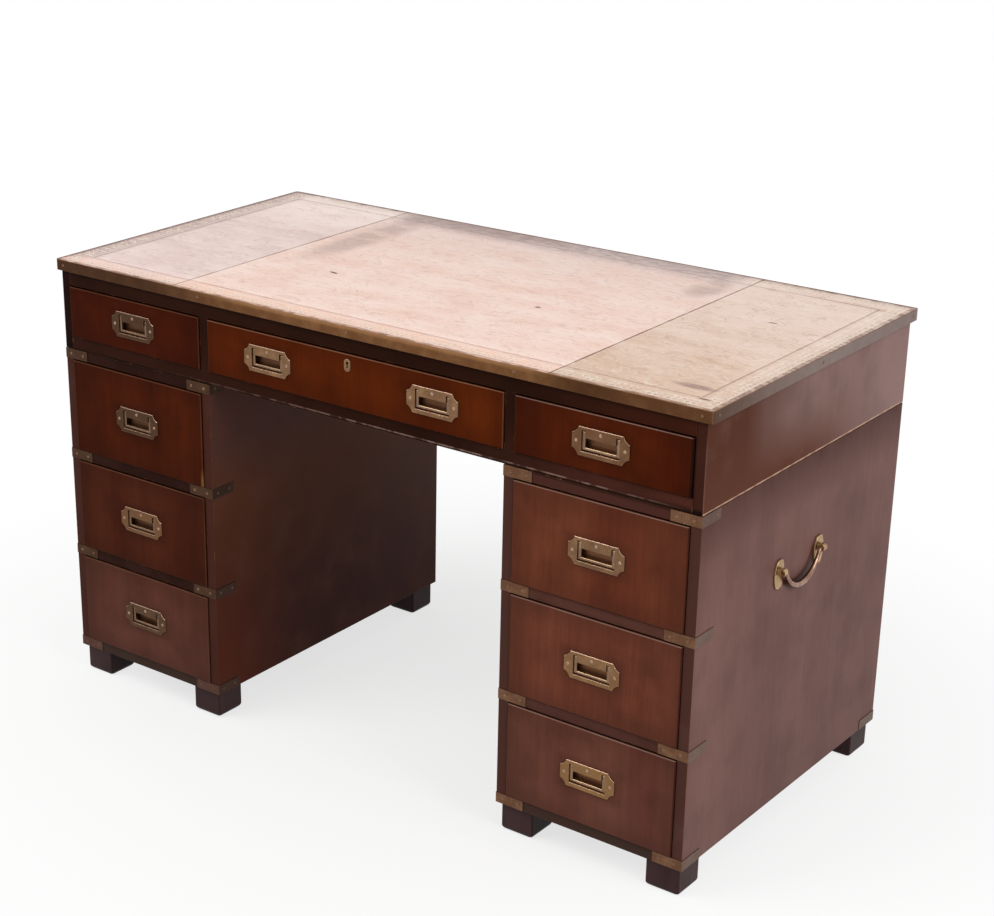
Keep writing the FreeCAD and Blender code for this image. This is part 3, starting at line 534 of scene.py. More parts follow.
# %% Ends of the top section
# the ends' tones are painted greyish: a painted reflection of the pale floor
end_sheen_tones = ("#55403A", "#765A55", "#7E625D")
end_regions = [
    # darker and redder towards the front and low down, a painted dark reflection, and greyer towards the back, a
    # painted reflection of the pale floor
    ([("y", -60, -200)], "#4C281A", 1.0),
    ([("y", 240, -20), ("z", 700, 620)], "#542E20", 1.0),
    ([("y", 60, 320)], "#8C716D", 0.6),
    ([TO_BACK], "#5E3E37", 1.0),
    ([TO_FRONT], "#3C1F17", 1.0),
    # front edges on the left painted darker, away from the light
    ([TO_FRONT, ("x", 0, -200)], "#331812", 1.0),
    # painted shadow on the front edge beside the drawer, and along the gap at the foot of the front edge
    ([TO_FRONT, ("x", 612, 609)], WAX_DIRT_AND_SHADE, 0.7),
    ([TO_FRONT, ("z", 622, 615)], WAX_DIRT_AND_SHADE, 0.8),
    # a painted highlight on the outer front corner
    ([("|x|", SIDE_X - 1.2, SIDE_X - 0.4), ("y", -307, -308.6), ("z", 735, 705)], "#8A665C", 0.4),
]
worn_edge = (612.6, 1.6, WORN_WOOD, 0.55, [("|x|", SIDE_X - 0.4, SIDE_X - 0.2)])
end_panel = timber(
    "mahogany_section_end", end_sheen_tones, end_regions, specular=0.02, rough=0.34, contrast=0.6, arris=0.1,
    worn=worn_edge, shift=5.1,
)
dress(end_panel, "section_ends")

# %% Backs
back_leaf = ("#472C26", "#5E3E37", "#67463F")
# the band below the top section is painted dark, as on the sides
back_regions = [([("z", 300, 60)], "#4A312C", 0.7), ([("z", 520, 612), ("z", 612.5, 611.5)], "#3C180E", 0.6)]
back_panel = timber("mahogany_back", back_leaf, back_regions, specular=0.05, contrast=0.8, shift=7.7)
dress(back_panel, "pedestal_backs", "section_back")

# %% Rails and boards
rail_leaf = ("#30180F", "#50302A", "#5A382F")
rail_regions = [
    ([("z", 560, 600)], "#43201A", 0.6),
    # the left pedestal's rails painted darker, away from the light
    ([("x", 200, -200)], "#260F08", 0.88),
    # a painted shadow line along the gap under the top section
    ([("z", 606, 609.5)], WAX_DIRT_AND_SHADE, 0.7),
    ([("z", 75, 67)], "#3C2C26", 0.9),
]
rail = timber(
    "mahogany_rail", rail_leaf, rail_regions, grain="X", chips=0.9, specular=0.03, contrast=0.7, shift=9.3
)
dress(rail, "pedestal_rails", "pedestal_boards")
dark_leaf = ("#140704", "#261008", "#30180E")
dark_regions = [
    ([("x", 350, 620)], "#4A2216", 0.5),
    # the top rail painted lighter on the right and darker on the left, as the light falls
    ([("x", 150, 560), ("z", 700, 640)], "#502C24", 0.6),
    ([("x", 0, -200), ("z", 700, 640)], "#33180F", 0.6),
    # painted shadow lines along the gap between the top section and the pedestals
    ([("z", 614.2, 612.8)], WAX_DIRT_AND_SHADE, 0.9),
    ([("z", 622, 615), ("x", 440, 590)], WAX_DIRT_AND_SHADE, 0.6),
]
worn_rail = (615.0, 1.2, "#80665C", 0.1, [TO_FRONT, ("x", -400, 120), ("x", 600, 440)])
dark_rail = timber(
    "mahogany_section_rail", dark_leaf, dark_regions, grain="X", chips=0.9, specular=0.02, contrast=0.7,
    worn=worn_rail, shift=12.1,
)
dress(dark_rail, "section_rails", "top_board")

# %% [markdown]
# ## Drawer linings, runners and feet
#
# Inside, where it isn't seen, the wood is plain and unpolished: paler, matt, and a little darker in the corners,
# from dirt and painted shade. The feet are short blocks stained black, which wear back to brown on their corners.
# The faces that look in under a pedestal are painted black, as painted shade.

# %% Lining and feet
lining_leaf = ("#6E4A2E", "#A67B52", "#B98D62")
lining = timber(
    "unpolished_lining", lining_leaf, grain="Y", chips=0.0, rough=0.72, specular=0.2, grime=0.45, contrast=0.7
)
dress(lining, "pedestal_runners", "section_runners", "locating_pegs", *ending("_box"))
foot_leaf = ("#201314", "#382223", "#412A2B")
foot_regions = [
    # painted shade on the faces that look in under a pedestal
    ([TO_RIGHT, ("x", 300, 330), ("x", 400, 370)], "#1A0908", 0.85),
    ([TO_RIGHT, ("x", -520, -560)], "#1A0908", 0.85),
]
feet = timber("ebonised_foot", foot_leaf, foot_regions, chips=0.3, rough=0.42, specular=0.1, arris=0.2)
dress(feet, "feet")

# %% [markdown]
# ## Brass
#
# All the metal is cast or rolled brass. Where hands and cloths reach it is bright gold, on flat faces it has a
# thin brown patina, and in recesses old polish has dried dark. It is fully metallic, so its colour is what it
# reflects of the white studio, except for the dried polish, which is dull and brown. Light and shade are also
# painted on it by the
# way a face looks: painted highlights on faces that look up, a painted greyish reflection on faces that look
# right, and painted shade in the knee hole and on the left.

# %% Brass finish
PATCH, SPECK, CAST_RELIEF, CUP_FADE = 22, 2.4, 0.1, 2


def brass(
    name, bare, patina, grime, regions=(), rough=(0.3, 0.5), reach=5, dirt=0.85, rub=0.8, rounding=0.6, cup=None
):
    """bare, patina and grime are its colours, and regions where it has dulled or where light and shade are
    painted, as fade() takes them.

    cup is the y in mm behind which dried polish covers two fifths of it.
    """
    material, tree, place = start_material(name)
    cloud = speckle(tree, place, PATCH, 4.0)
    speck = speckle(tree, place, SPECK, 2.0)
    mixed = add(tree, "Mix", {0: 0.35, 2: cloud, 3: speck})[0]
    tone = blend(tree, linear(bare), patina, remap(tree, mixed, 0.3, 0.55, 0.35, 1.0))
    rounded, edge = edge_mask(tree, rounding)
    own_way = {"vector_type": "NORMAL", "convert_from": "WORLD", "convert_to": "OBJECT"}
    turned = add(tree, "VectorTransform", {0: rounded}, **own_way)[0]
    # the facing limits use the rounded normal, so the painted light follows the rounded edges
    tone = fade(tree, place, tone, regions, normal=turned)
    tone = blend(tree, tone, bare, calc(tree, "MULTIPLY", edge, rub))
    crust = crevice_mask(tree, reach, dirt)
    if cup is not None:
        deep = add(tree, "SeparateXYZ", {0: place})["Y"]
        crust = calc(tree, "MAXIMUM", crust, remap(tree, deep, cup * MM, (cup + CUP_FADE) * MM, 0.0, 0.4))
    metal = remap(tree, crust, 0.0, 1.0, 1.0, 0.2)
    tone = blend(tree, tone, grime, crust)
    gloss = remap(tree, mixed, 0.35, 0.65, *rough)
    gloss = calc(tree, "MULTIPLY_ADD", crust, 0.3, gloss, use_clamp=True)
    relief = {"Strength": 0.3, "Distance": CAST_RELIEF * MM, "Height": speck, "Normal": rounded}
    relief = add(tree, "Bump", relief)[0]
    surface = {"Base Color": tone, "Metallic": metal, "Roughness": gloss, "Normal": relief}
    finish_material(tree, add(tree, "BsdfPrincipled", surface))
    return material


# %% Straps and lock
strap_regions = [
    # faces that look right get a painted greyish reflection, darker high up
    ([TO_RIGHT], "#6F5A52", 0.85),
    ([TO_RIGHT, ("z", 540, 560)], "#54392F", 0.5),
    # straps on the left painted darker, away from the light
    ([("x", 200, -200)], "#3A2619", 0.75),
    ([("x", 200, -200), ("z", 75, 65)], "#664640", 0.4),
    # painted shade on the faces that look right in the knee hole
    ([TO_RIGHT, ("|x|", 320, 300)], "#3A251B", 0.8),
]
strap_brass = brass(
    "aged_brass_strap", "#8A6A50", "#684835", "#2A1A10", strap_regions, rough=(0.42, 0.6), rub=0.35
)
dress(strap_brass, "corner_straps", "lock_case", "lock_bolt")

# %% Edge band and screws
band_regions = [
    ([TO_FRONT, ("z", 759, 764), ("x", -340, -200), ("x", 400, 280)], "#A87C54", 0.6),
    ([TO_FRONT, ("x", -230, -420)], "#42291A", 0.85),
    ([TO_FRONT, ("x", 330, 430)], "#4C3020", 0.55),
    ([TO_FRONT, ("x", 340, 400), ("x", 510, 450)], "#36200F", 0.4),
    # faces that look right get a painted greyish reflection, darker towards the front: a painted dark reflection
    ([TO_RIGHT], "#867570", 0.9),
    ([TO_RIGHT, ("y", -20, -320)], "#5A4030", 0.85),
    ([TO_RIGHT, ("y", -160, -300)], "#4A2A18", 0.5),
]
band_brass = brass(
    "aged_brass_band", "#8A6440", "#6B472C", "#2A1A10", band_regions, rough=(0.45, 0.62), rub=0.6, rounding=0.9
)
dress(band_brass, "edge_band")
screw_regions = [
    # painted shade on the screw heads that look right in the knee hole
    ([TO_RIGHT, ("|x|", 320, 300)], "#442E22", 0.8),
    ([("x", -200, -250), ("z", 75, 65)], "#4A3228", 0.8),
]
screw_brass = brass(
    "brass_screw_head", "#9A7A60", "#70523E", "#3A2616", screw_regions, rough=(0.35, 0.5), reach=1.5
)
dress(screw_brass, "band_screws", "strap_screws")

# %% Handle plates
# y in mm behind which a plate's recess is dirty
PLATE_BACK = -311.6
plate_regions = [
    # plates on the left painted darker, away from the light
    ([("x", -190, -420)], "#463021", 0.8),
    ([("x", -300, -400), ("z", 400, 460)], "#3A2416", 0.3),
    ([("x", -300, -400), ("z", 220, 280), ("z", 440, 380)], "#8A6040", 0.4),
    ([("x", 250, 420), ("z", 600, 640)], "#5C3C2A", 0.55),
    ([("x", 250, 420), ("z", 440, 480), ("z", 570, 540)], "#5E4634", 0.3),
    ([("x", 300, 400), ("z", 420, 200)], "#8C683E", 0.5),
    ([("y", PLATE_BACK, -309)], "#6B482C", 0.95),
    ([("y", PLATE_BACK, -309), ("x", 430, 0)], "#3E2815", 0.75),
    # a painted highlight on the rims that look up
    ([("nz", 0.25, 0.6), ("y", PLATE_BACK, -312)], "#DDB9A2", 0.7),
]
plate_brass = brass(
    "handle_brass", "#A6825F", "#775840", "#6E4428", plate_regions, rough=(0.26, 0.42), reach=4, dirt=0.7,
    rub=0.4, rounding=1.2, cup=PLATE_BACK,
)
dress(plate_brass, "escutcheon", *ending("drawer_handle_plate"))

# %% Bails and carrying plates
# a painted highlight on the faces of the bails that look up, and the left bails painted darker, away from the
# light
bail_regions = [([("nz", 0.2, 0.7)], "#CDAC88", 0.75), ([("x", 0, -430)], "#6A5240", 0.6)]
bail_brass = brass(
    "bail_brass", "#A98A6E", "#7E6450", "#4A3018", bail_regions, rough=(0.22, 0.36), reach=3, dirt=0.5, rub=0.5
)
dress(bail_brass, *(name for name in ending("_bail") if "carry" not in name))
carry_brass = brass(
    "carry_plate_brass", "#DDBE8E", "#A68660", "#5A3D1C", reach=4, rough=(0.2, 0.34), rounding=1.4
)
dress(carry_brass, "carry_handle_plates")
grip_brass = brass("carry_grip_brass", "#D8B8A2", "#8A6857", "#3A2214", reach=3, rough=(0.16, 0.26))

# %% [markdown]
# ## New pieces
#
# A few shapes are made here. Each is a mesh that rides on one body of the desk, so it moves with the joints. It
# may stand for a CAD node, which is then not shown.

# %% Making a piece


def mesh_in_mm(name, points, faces):
    """A mesh whose points are given in millimetres."""
    shape = bpy.data.meshes.new(name)
    shape.from_pydata([tuple(c * MM for c in point) for point in points], [], faces)
    return shape


def new_piece(name, shape, material, body, slot, *replaced):
    """Puts a mesh in the scene as a piece that rides on a body."""
    shape.materials.clear()
    shape.materials.append(material)
    piece = new_object(name, shape)
    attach(piece, body)
    if replaced:
        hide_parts(*replaced)
    print(name, "has", len(shape.polygons), "faces and rides on", body)


# %% [markdown]
# ## Carrying handles
#
# The bail on each outer side is forged: it swells where the hand takes it and is thin at its pivots. A curve with
# a round bevel follows the bail's line, and each point has its own thickness. The line is the CAD bail's own, a
# small bend down from the pin and one large arc, so the new bail takes its place and turns as it does.

# %% Carrying bails
CARRY_X, CARRY_Y, CARRY_Z = 634, -11, 450
CARRY_REACH, CARRY_DEPTH, CARRY_BEND = 56.5, 38, 5
PIN_RADIUS, ARM_RADIUS, GRIP_RADIUS, ARM_TAPER = 2.4, 3.0, 4.9, 0.1
PIN_POINTS = (1.5, 4, 7.9)
ARC_STEPS, BEND_STEPS = 9, 3


def bail_line():
    """Across, up and radius in mm from the middle of the grip to the end of the pin."""
    turn = 2 * atan2(CARRY_DEPTH, CARRY_REACH)
    large = CARRY_REACH / sin(turn) - CARRY_BEND
    line = []
    for step in range(ARC_STEPS):
        angle = turn * step / ARC_STEPS
        swell = ARM_RADIUS + (GRIP_RADIUS - ARM_RADIUS) * cos(pi / 2 * step / ARC_STEPS) ** 2
        line.append((large * sin(angle), -CARRY_DEPTH + large * (1 - cos(angle)), swell))
    for step in range(BEND_STEPS + 1):
        angle = turn * (1 - step / BEND_STEPS)
        across, up = CARRY_REACH - CARRY_BEND * sin(angle), -CARRY_BEND * (1 - cos(angle))
        line.append((across, up, ARM_RADIUS - ARM_TAPER * step))
    return line + [(CARRY_REACH + along, 0, PIN_RADIUS) for along in PIN_POINTS]


def carry_bail(side, name):
    """A swelling round bar along the bail's line, as a mesh."""
    half = bail_line()
    line = [(-across, up, radius) for across, up, radius in reversed(half[1:])] + half
    curve = bpy.data.curves.new(name + "_line", "CURVE")
    curve.dimensions = "3D"
    curve.bevel_depth = MM
    curve.bevel_resolution = 6
    curve.resolution_u = 6
    curve.use_fill_caps = True
    spline = curve.splines.new("NURBS")
    spline.points.add(len(line) - 1)
    for point, (across, up, radius) in zip(spline.points, line):
        point.co = (side * CARRY_X * MM, (CARRY_Y + across) * MM, (CARRY_Z + up) * MM, 1.0)
        point.radius = radius
    spline.order_u = 4
    spline.use_endpoint_u = True
    drawn = new_object(name + "_line", curve)
    shape = bpy.data.meshes.new_from_object(drawn.evaluated_get(bpy.context.evaluated_depsgraph_get()))
    bpy.data.objects.remove(drawn)
    for face in shape.polygons:
        face.use_smooth = True
    return shape


for word, side in (("right", 1), ("left", -1)):
    handle = f"{word}_carry_bail"
    new_piece(f"{word}_carry_grip", carry_bail(side, handle), grip_brass, handle, "bright_brass", handle)

# %% [markdown]
# ## Worn feet
#
# Years of dragging have rounded the lower corners of the feet. Each foot is built of level rings, rounded
# squares that shrink along a quarter circle towards the floor. No two feet are worn quite the same.

# %% Rounded feet
FOOT_WIDTH, FOOT_EDGE = 58, 3.0
INNER_FOOT_X = 328
WEAR, WEAR_CHANGE, WEAR_PATCH = 7.0, 1.5, 97
WEAR_RINGS, CORNER_STEPS = 5, 4


def foot_ring(x, y, z, inset):
    """A level rounded square, seen from above in anticlockwise order."""
    corner = FOOT_EDGE + inset / 2
    reach = FOOT_WIDTH / 2 - inset - corner
    points = []
    for quarter, (sign_x, sign_y) in enumerate(((1, 1), (-1, 1), (-1, -1), (1, -1))):
        for step in range(CORNER_STEPS + 1):
            angle = (quarter + step / CORNER_STEPS) * pi / 2
            points.append((x + sign_x * reach + corner * cos(angle), y + sign_y * reach + corner * sin(angle), z))
    return points


def worn_feet():
    """All eight feet as one mesh."""
    low, high = (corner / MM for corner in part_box("feet"))
    half = FOOT_WIDTH / 2
    points, faces = [], []
    around = 4 * (CORNER_STEPS + 1)
    for x in (low.x + half, -INNER_FOOT_X, INNER_FOOT_X, high.x - half):
        for y in (low.y + half, high.y - half):
            worn = WEAR + WEAR_CHANGE * noise.noise(Vector((x, y, 0)) / WEAR_PATCH)
            start = len(points)
            for ring in range(WEAR_RINGS + 1):
                angle = ring / WEAR_RINGS * pi / 2
                points += foot_ring(x, y, low.z + worn * (1 - cos(angle)), worn * (1 - sin(angle)))
            points += foot_ring(x, y, high.z, 0)
            for ring in range(WEAR_RINGS + 1):
                near, far = start + ring * around, start + (ring + 1) * around
                for i in range(around):
                    j = (i + 1) % around
                    faces.append((near + i, near + j, far + j, far + i))
            faces.append(tuple(start + i for i in reversed(range(around))))
            faces.append(tuple(start + (WEAR_RINGS + 1) * around + i for i in range(around)))
    shape = mesh_in_mm("feet", points, faces)
    per_foot = (WEAR_RINGS + 1) * around + 2
    for face in shape.polygons:
        face.use_smooth = face.index % per_foot < WEAR_RINGS * around
    return shape


new_piece("worn_feet", worn_feet(), feet, "pedestals", "ebonised_wood", "feet")

# %% [markdown]
# ## Screw heads of the handles
#
# Each plate is held by three raised screws. Their low domes stand proud of the plate, so cloths polish them first
# and they catch the light. A dome is turned from one arc, and is made as two halves with a gap between them, which
# is the slot. The slots point every way, as they do when screws are driven by hand.

# %% Raised screw heads
HEAD_RADIUS, HEAD_RISE, SLOT_HALF = 2.6, 0.6, 0.3
HEAD_BASE_Y = -313.45
PLATE_SCREWS = ((-40.7, 0), (40.7, 0), (0, 14.5))
DOME_RINGS, DOME_SEGMENTS = 4, 10


def half_dome(x, z, turn):
    """Points and faces of half a slotted dome on the plate's face, in mm."""
    points = []
    for ring in range(DOME_RINGS + 1):
        rise = pi / 2 * ring / DOME_RINGS
        out, up = HEAD_RADIUS * cos(rise), HEAD_RISE * sin(rise)
        for step in range(DOME_SEGMENTS + 1):
            sweep = pi * step / DOME_SEGMENTS - pi / 2
            across = SLOT_HALF + out * cos(sweep) * (1 - SLOT_HALF / HEAD_RADIUS)
            along = out * sin(sweep)
            point_x = x + across * cos(turn) - along * sin(turn)
            point_z = z + across * sin(turn) + along * cos(turn)
            points.append((point_x, HEAD_BASE_Y - up, point_z))
    wide = DOME_SEGMENTS + 1
    faces = [
        (ring * wide + step, (ring + 1) * wide + step, (ring + 1) * wide + step + 1, ring * wide + step + 1)
        for ring in range(DOME_RINGS)
        for step in range(DOME_SEGMENTS)
    ]
    starts = [ring * wide for ring in range(DOME_RINGS + 1)]
    faces.append(tuple(range(wide)))
    faces.append(tuple(reversed(starts)) + tuple(start + DOME_SEGMENTS for start in starts))
    return points, faces


def raised_heads(drawer):
    """The domes of every screw in a drawer's handle plates."""
    points, faces = [], []
    for middle_x, middle_z in handle_spots(drawer):
        for order, (x, z) in enumerate(PLATE_SCREWS):
            turn = 0.7 + 1.9 * order + middle_x * 0.013 + middle_z * 0.02
            for half in (0, pi):
                dome, sides = half_dome(middle_x + x, middle_z + z, turn + half)
                faces += [tuple(len(points) + corner for corner in side) for side in sides]
                points += dome
    return mesh_in_mm("raised_heads", points, faces)


head_brass = brass(
    "polished_screw_brass", "#D6B6A0", "#A88874", "#3A2616", rough=(0.25, 0.4), reach=1.0, rounding=0.3
)
for drawer in FRONT_LEAVES_AS_LIT:
    heads = raised_heads(drawer)
    new_piece(f"{drawer}_drawer_screw_heads", heads, head_brass, f"{drawer}_drawer", "bright_brass")

# %% [markdown]
# ## Leather top
#
# Three hides lie side by side, because one skin is too short. Each is glued down and tooled with heated brass
# wheels: a gilt ornament runs round the outside of the desk between two gilt lines, with a fine line outside
# them and a blind double line inside them. The tooling presses real grooves, so each panel is a grid whose rows
# crowd together at the grooves, a little hollow and hilly between them, and thinned where it meets the brass.

# %% Leather panels
LEATHER_LOW, LEATHER_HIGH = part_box("leather_panels")
HALF_X, HALF_Y = LEATHER_HIGH.x / MM, LEATHER_HIGH.y / MM
SEAM = 367
# distance in from the desk's outer edge, half width and depth of each groove, in mm
GROOVES = ((6.5, 0.7, 0.25), (9.5, 0.6, 0.15), (30.5, 0.6, 0.15), (42.0, 0.7, 0.3), (44.6, 0.7, 0.3))
RIM_LINES, CELL, LEAST_CELL = (0.8, 2.2), 9, 0.35
EDGE_DIP, SEAM_DIP, DIP_REACH = 0.35, 0.3, 2.4


def grid_lines(low, high, edge_low, edge_high):
    """Places along one axis from low to high, crowded at the grooves along an outer edge."""
    lines = {low, high} | {low + step for step in RIM_LINES} | {high - step for step in RIM_LINES}
    for middle, half, _ in GROOVES:
        for step in (-1, 0, 1):
            if edge_low:
                lines.add(low + middle + step * half)
            if edge_high:
                lines.add(high - middle - step * half)
    count = max(2, round((high - low) / CELL))
    lines.update(low + (high - low) * i / count for i in range(count + 1))
    kept = [low]
    for line in sorted(lines):
        if line - kept[-1] > LEAST_CELL:
            kept.append(line)
    kept[-1] = high
    return kept


def leather_height(x, y, seams):
    """Depth below the top of the leather, in mm."""
    inset = min(HALF_X - abs(x), HALF_Y - abs(y))
    depth = 0.1 + 0.09 * noise.noise(Vector((x, y * 1.6, 0)) / 85) + 0.04 * noise.noise(Vector((x, y, 7)) / 19)
    for middle, half, deep in GROOVES:
        depth += deep * max(0.0, 1 - abs(inset - middle) / half)
    depth += EDGE_DIP * max(0.0, 1 - inset / DIP_REACH)
    for seam in seams:
        depth += SEAM_DIP * max(0.0, 1 - abs(x - seam) / DIP_REACH)
    return max(0.0, depth)


def leather_panel(low, high, seams):
    """A hide from x low to x high, closed underneath."""
    xs = grid_lines(low, high, low < -SEAM - 1, high > SEAM + 1)
    ys = grid_lines(-HALF_Y, HALF_Y, True, True)
    top = LEATHER_HIGH.z / MM
    points = [(x, y, top - leather_height(x, y, seams)) for y in ys for x in xs]
    wide, last = len(xs), len(ys) - 1
    faces = [
        (r * wide + c, r * wide + c + 1, (r + 1) * wide + c + 1, (r + 1) * wide + c)
        for r in range(last)
        for c in range(wide - 1)
    ]
    rim = list(range(wide)) + [r * wide + wide - 1 for r in range(1, last + 1)]
    rim += [last * wide + c for c in range(wide - 2, -1, -1)] + [r * wide for r in range(last - 1, 0, -1)]
    start = len(points)
    points += [(points[i][0], points[i][1], LEATHER_LOW.z / MM) for i in rim]
    for i in range(len(rim)):
        j = (i + 1) % len(rim)
        faces.append((rim[j], rim[i], start + i, start + j))
    faces.append(tuple(start + i for i in reversed(range(len(rim)))))
    shape = mesh_in_mm("leather", points, faces)
    for face in shape.polygons[: last * (wide - 1)]:
        face.use_smooth = True
    return shape


# %% [markdown]
# ## Leather finish
#
# The hide is tan calf that has faded and rubbed pale, and its tones are painted paler still for the strong light
# on the top. Streaks run along the desk where arms and papers slid.
# Close to the outer edge it is greyer and soiled. Of the gilt ornament only specks are left: rings and dots from
# a wheel, drawn as a regular pattern along the nearest edge and worn away by noise. Grey grime covers the
# tooling at the back of the middle hide. A few scuffs and ink marks are laid at their places, each as a soft
# oval that noise breaks up.

# %% Leather nodes
GRAIN, MOTTLE, RUB, SCRATCH = 1.8, 9, 48, 26
ORNAMENT_PITCH, BAND_MIDDLE, BAND_HALF = 10.0, 20, 9.5
GILT_LINES, GILT_HALF = (9.5, 30.5), 0.6
# radius and half width of a ring, and radius of a dot, in repeats
RING_RADIUS, RING_HALF, DOT_RADIUS = 0.36, 0.09, 0.17


def inset_nodes(tree, place):
    """Distance in from the desk's outer edge, and distance along that edge."""
    spot = add(tree, "SeparateXYZ", {0: place})
    insets = []
    for axis, half in (("X", HALF_X), ("Y", HALF_Y)):
        insets.append(calc(tree, "SUBTRACT", half * MM, calc(tree, "ABSOLUTE", spot[axis])))
    inset = calc(tree, "MINIMUM", insets[0], insets[1])
    end = calc(tree, "LESS_THAN", insets[0], insets[1])
    along = add(tree, "Mix", {0: end, 2: spot["X"], 3: spot["Y"]})[0]
    return spot, inset, along


def gilt_mask(tree, inset, along, wear):
    """Rings and dots along the border, where wear has left them."""
    scaled = [calc(tree, "MULTIPLY", value, per_metre(ORNAMENT_PITCH)) for value in (along, inset)]
    flat = add(tree, "CombineXYZ", {0: scaled[0], 1: scaled[1]})[0]
    cell = {"Vector": flat, "Scale": 1.0, "Randomness": 0.0}
    spread = add(tree, "TexVoronoi", cell, voronoi_dimensions="2D")["Distance"]
    ring = calc(tree, "COMPARE", spread, RING_RADIUS, RING_HALF)
    dot = calc(tree, "LESS_THAN", spread, DOT_RADIUS)
    drawn = calc(tree, "MAXIMUM", ring, dot)
    inside = calc(tree, "COMPARE", inset, BAND_MIDDLE * MM, BAND_HALF * MM)
    drawn = calc(tree, "MULTIPLY", drawn, inside)
    for middle in GILT_LINES:
        drawn = calc(tree, "MAXIMUM", drawn, calc(tree, "COMPARE", inset, middle * MM, GILT_HALF * MM))
    return calc(tree, "MULTIPLY", drawn, wear)


# %% Marks and lines of the leather
LINE_DIRT = "#6A3C2A"
# middle of each mark, half its length and half its width, in mm, its turn in degrees and how dark it is
MARKS = (
    (-210, -90, 11.5, 3.6, -15, 1.0), (168, -48, 6, 4.5, 0, 0.8), (560, -234, 38, 11, 0, 0.8),
    (599, -274, 12, 3.6, 0, 0.8), (-310, 118, 42, 185, 0, 0.42), (-170, 302, 200, 50, 0, 0.4),
    (497, 103, 10, 2.8, 0, 0.8), (322, 205, 34, 62, 0, 0.4),
)
SMALL_MARK = 20
INK, SMEAR = "#40170C", "#8E6F68"


def lay_marks(tree, place, tone, rub, mottle):
    """The tone with every mark on it, in ink where it is small and smeared where it is large."""
    for x, y, length, width, turn, depth in MARKS:
        small = length < SMALL_MARK
        laid = {"Vector": place, "Location": (x * MM, y * MM, LEATHER_HIGH.z), "Rotation": (0, 0, radians(turn))}
        laid["Scale"] = (length * MM, width * MM, 1)
        laid = add(tree, "Mapping", laid, vector_type="TEXTURE")[0]
        oval = add(tree, "VectorMath", {0: laid}, operation="LENGTH")["Value"]
        share = remap(tree, oval, 0.5, 1.1, depth, 0.0)
        pattern, least = (mottle, 0.85) if small else (rub, 0.35)
        broken = remap(tree, pattern, 0.35, 0.5, least, 1.0)
        tone = blend(tree, tone, INK if small else SMEAR, calc(tree, "MULTIPLY", share, broken))
    return tone


def darken_lines(tree, tone, spot, inset, rub):
    """The tone with dirt in the seams, in the blind double line, in the fine line and along the brass."""
    seams = calc(tree, "ABSOLUTE", spot["X"])
    lines = ((seams, SEAM, 1.5, 0.95), (inset, 43.3, 1.7, 0.6), (inset, 6.5, 0.8, 0.4), (inset, 3.5, 3.5, 0.3))
    for value, middle, half, depth in lines:
        line = calc(tree, "COMPARE", value, middle * MM, half * MM)
        share = remap(tree, rub, 0.3, 0.6, depth, depth * 0.6)
        tone = blend(tree, tone, LINE_DIRT, calc(tree, "MULTIPLY", line, share))
    return tone


# %% Leather material
SLIDE, HIDE_RELIEF = (0.45, 1.0, 1.0), 0.35
SOILED_FROM, SOILED_TO, FRAY = 32, 10, 16
PALE_CREASE, GILT = "#FBF0E8", "#F6E6D6"
FRAYED = [([("y", -250, -300)], "#8A6444", 1.0), ([("y", -300, -250)], "#8E7874", 0.8)]


def leather(name, worn, hide, soiled, regions, grime):
    """worn, hide and soiled are its palest, middle and darkest tones; regions and grime go to fade()."""
    material, tree, place = start_material(name)
    spot, inset, along = inset_nodes(tree, place)
    slid = add(tree, "Mapping", {"Vector": place, "Scale": SLIDE})[0]
    rub, mottle, grain = (
        speckle(tree, vector, size, detail)
        for vector, size, detail in ((slid, RUB, 5.0), (slid, MOTTLE, 3.0), (place, GRAIN, 2.0))
    )
    tone = blend(tree, linear(hide), worn, remap(tree, rub, 0.35, 0.62))
    for pattern, low, high, depth in ((mottle, 0.52, 0.75, 0.24), (grain, 0.5, 0.75, 0.15)):
        tone = blend(tree, tone, soiled, remap(tree, pattern, low, high, 0.0, depth))
    tone = fade(tree, place, tone, regions, remap(tree, rub, 0.3, 0.65, 0.7, 1.2))

    creases = {"Vector": slid, "Scale": per_metre(SCRATCH), "Detail": 5.0, "Distortion": 0.8}
    creases = add(tree, "TexNoise", creases)["Fac"]
    for level, colour, depth in ((0.5, soiled, 0.34), (0.56, PALE_CREASE, 0.35), (0.43, PALE_CREASE, 0.25)):
        line = calc(tree, "COMPARE", creases, level, 0.008)
        tone = blend(tree, tone, colour, calc(tree, "MULTIPLY", line, depth))
    worn_off = remap(tree, mottle, 0.42, 0.58, 0.1, 1.0)
    border = remap(tree, inset, SOILED_FROM * MM, SOILED_TO * MM, 0.0, 0.75)
    tone = blend(tree, tone, soiled, calc(tree, "MULTIPLY", border, worn_off))
    tone = blend(tree, tone, GILT, gilt_mask(tree, inset, along, worn_off))
    frayed = calc(tree, "MULTIPLY_ADD", mottle, -FRAY * MM, inset)
    frayed = remap(tree, frayed, -3 * MM, -6 * MM, 0.0, 0.75)
    tone = fade(tree, place, tone, FRAYED, frayed)
    tone = darken_lines(tree, tone, spot, inset, rub)
    tone = fade(tree, place, tone, grime, remap(tree, mottle, 0.4, 0.6, 0.6, 1.1))
    tone = lay_marks(tree, place, tone, rub, mottle)

    gloss = remap(tree, rub, 0.3, 0.7, 0.66, 0.5)
    relief = calc(tree, "ADD", grain, mottle)
    relief = add(tree, "Bump", {"Strength": 0.35, "Distance": HIDE_RELIEF * MM, "Height": relief})[0]
    surface = {"Base Color": tone, "Roughness": gloss, "Normal": relief, "Specular IOR Level": 0.25}
    finish_material(tree, add(tree, "BsdfPrincipled", surface))
    return material


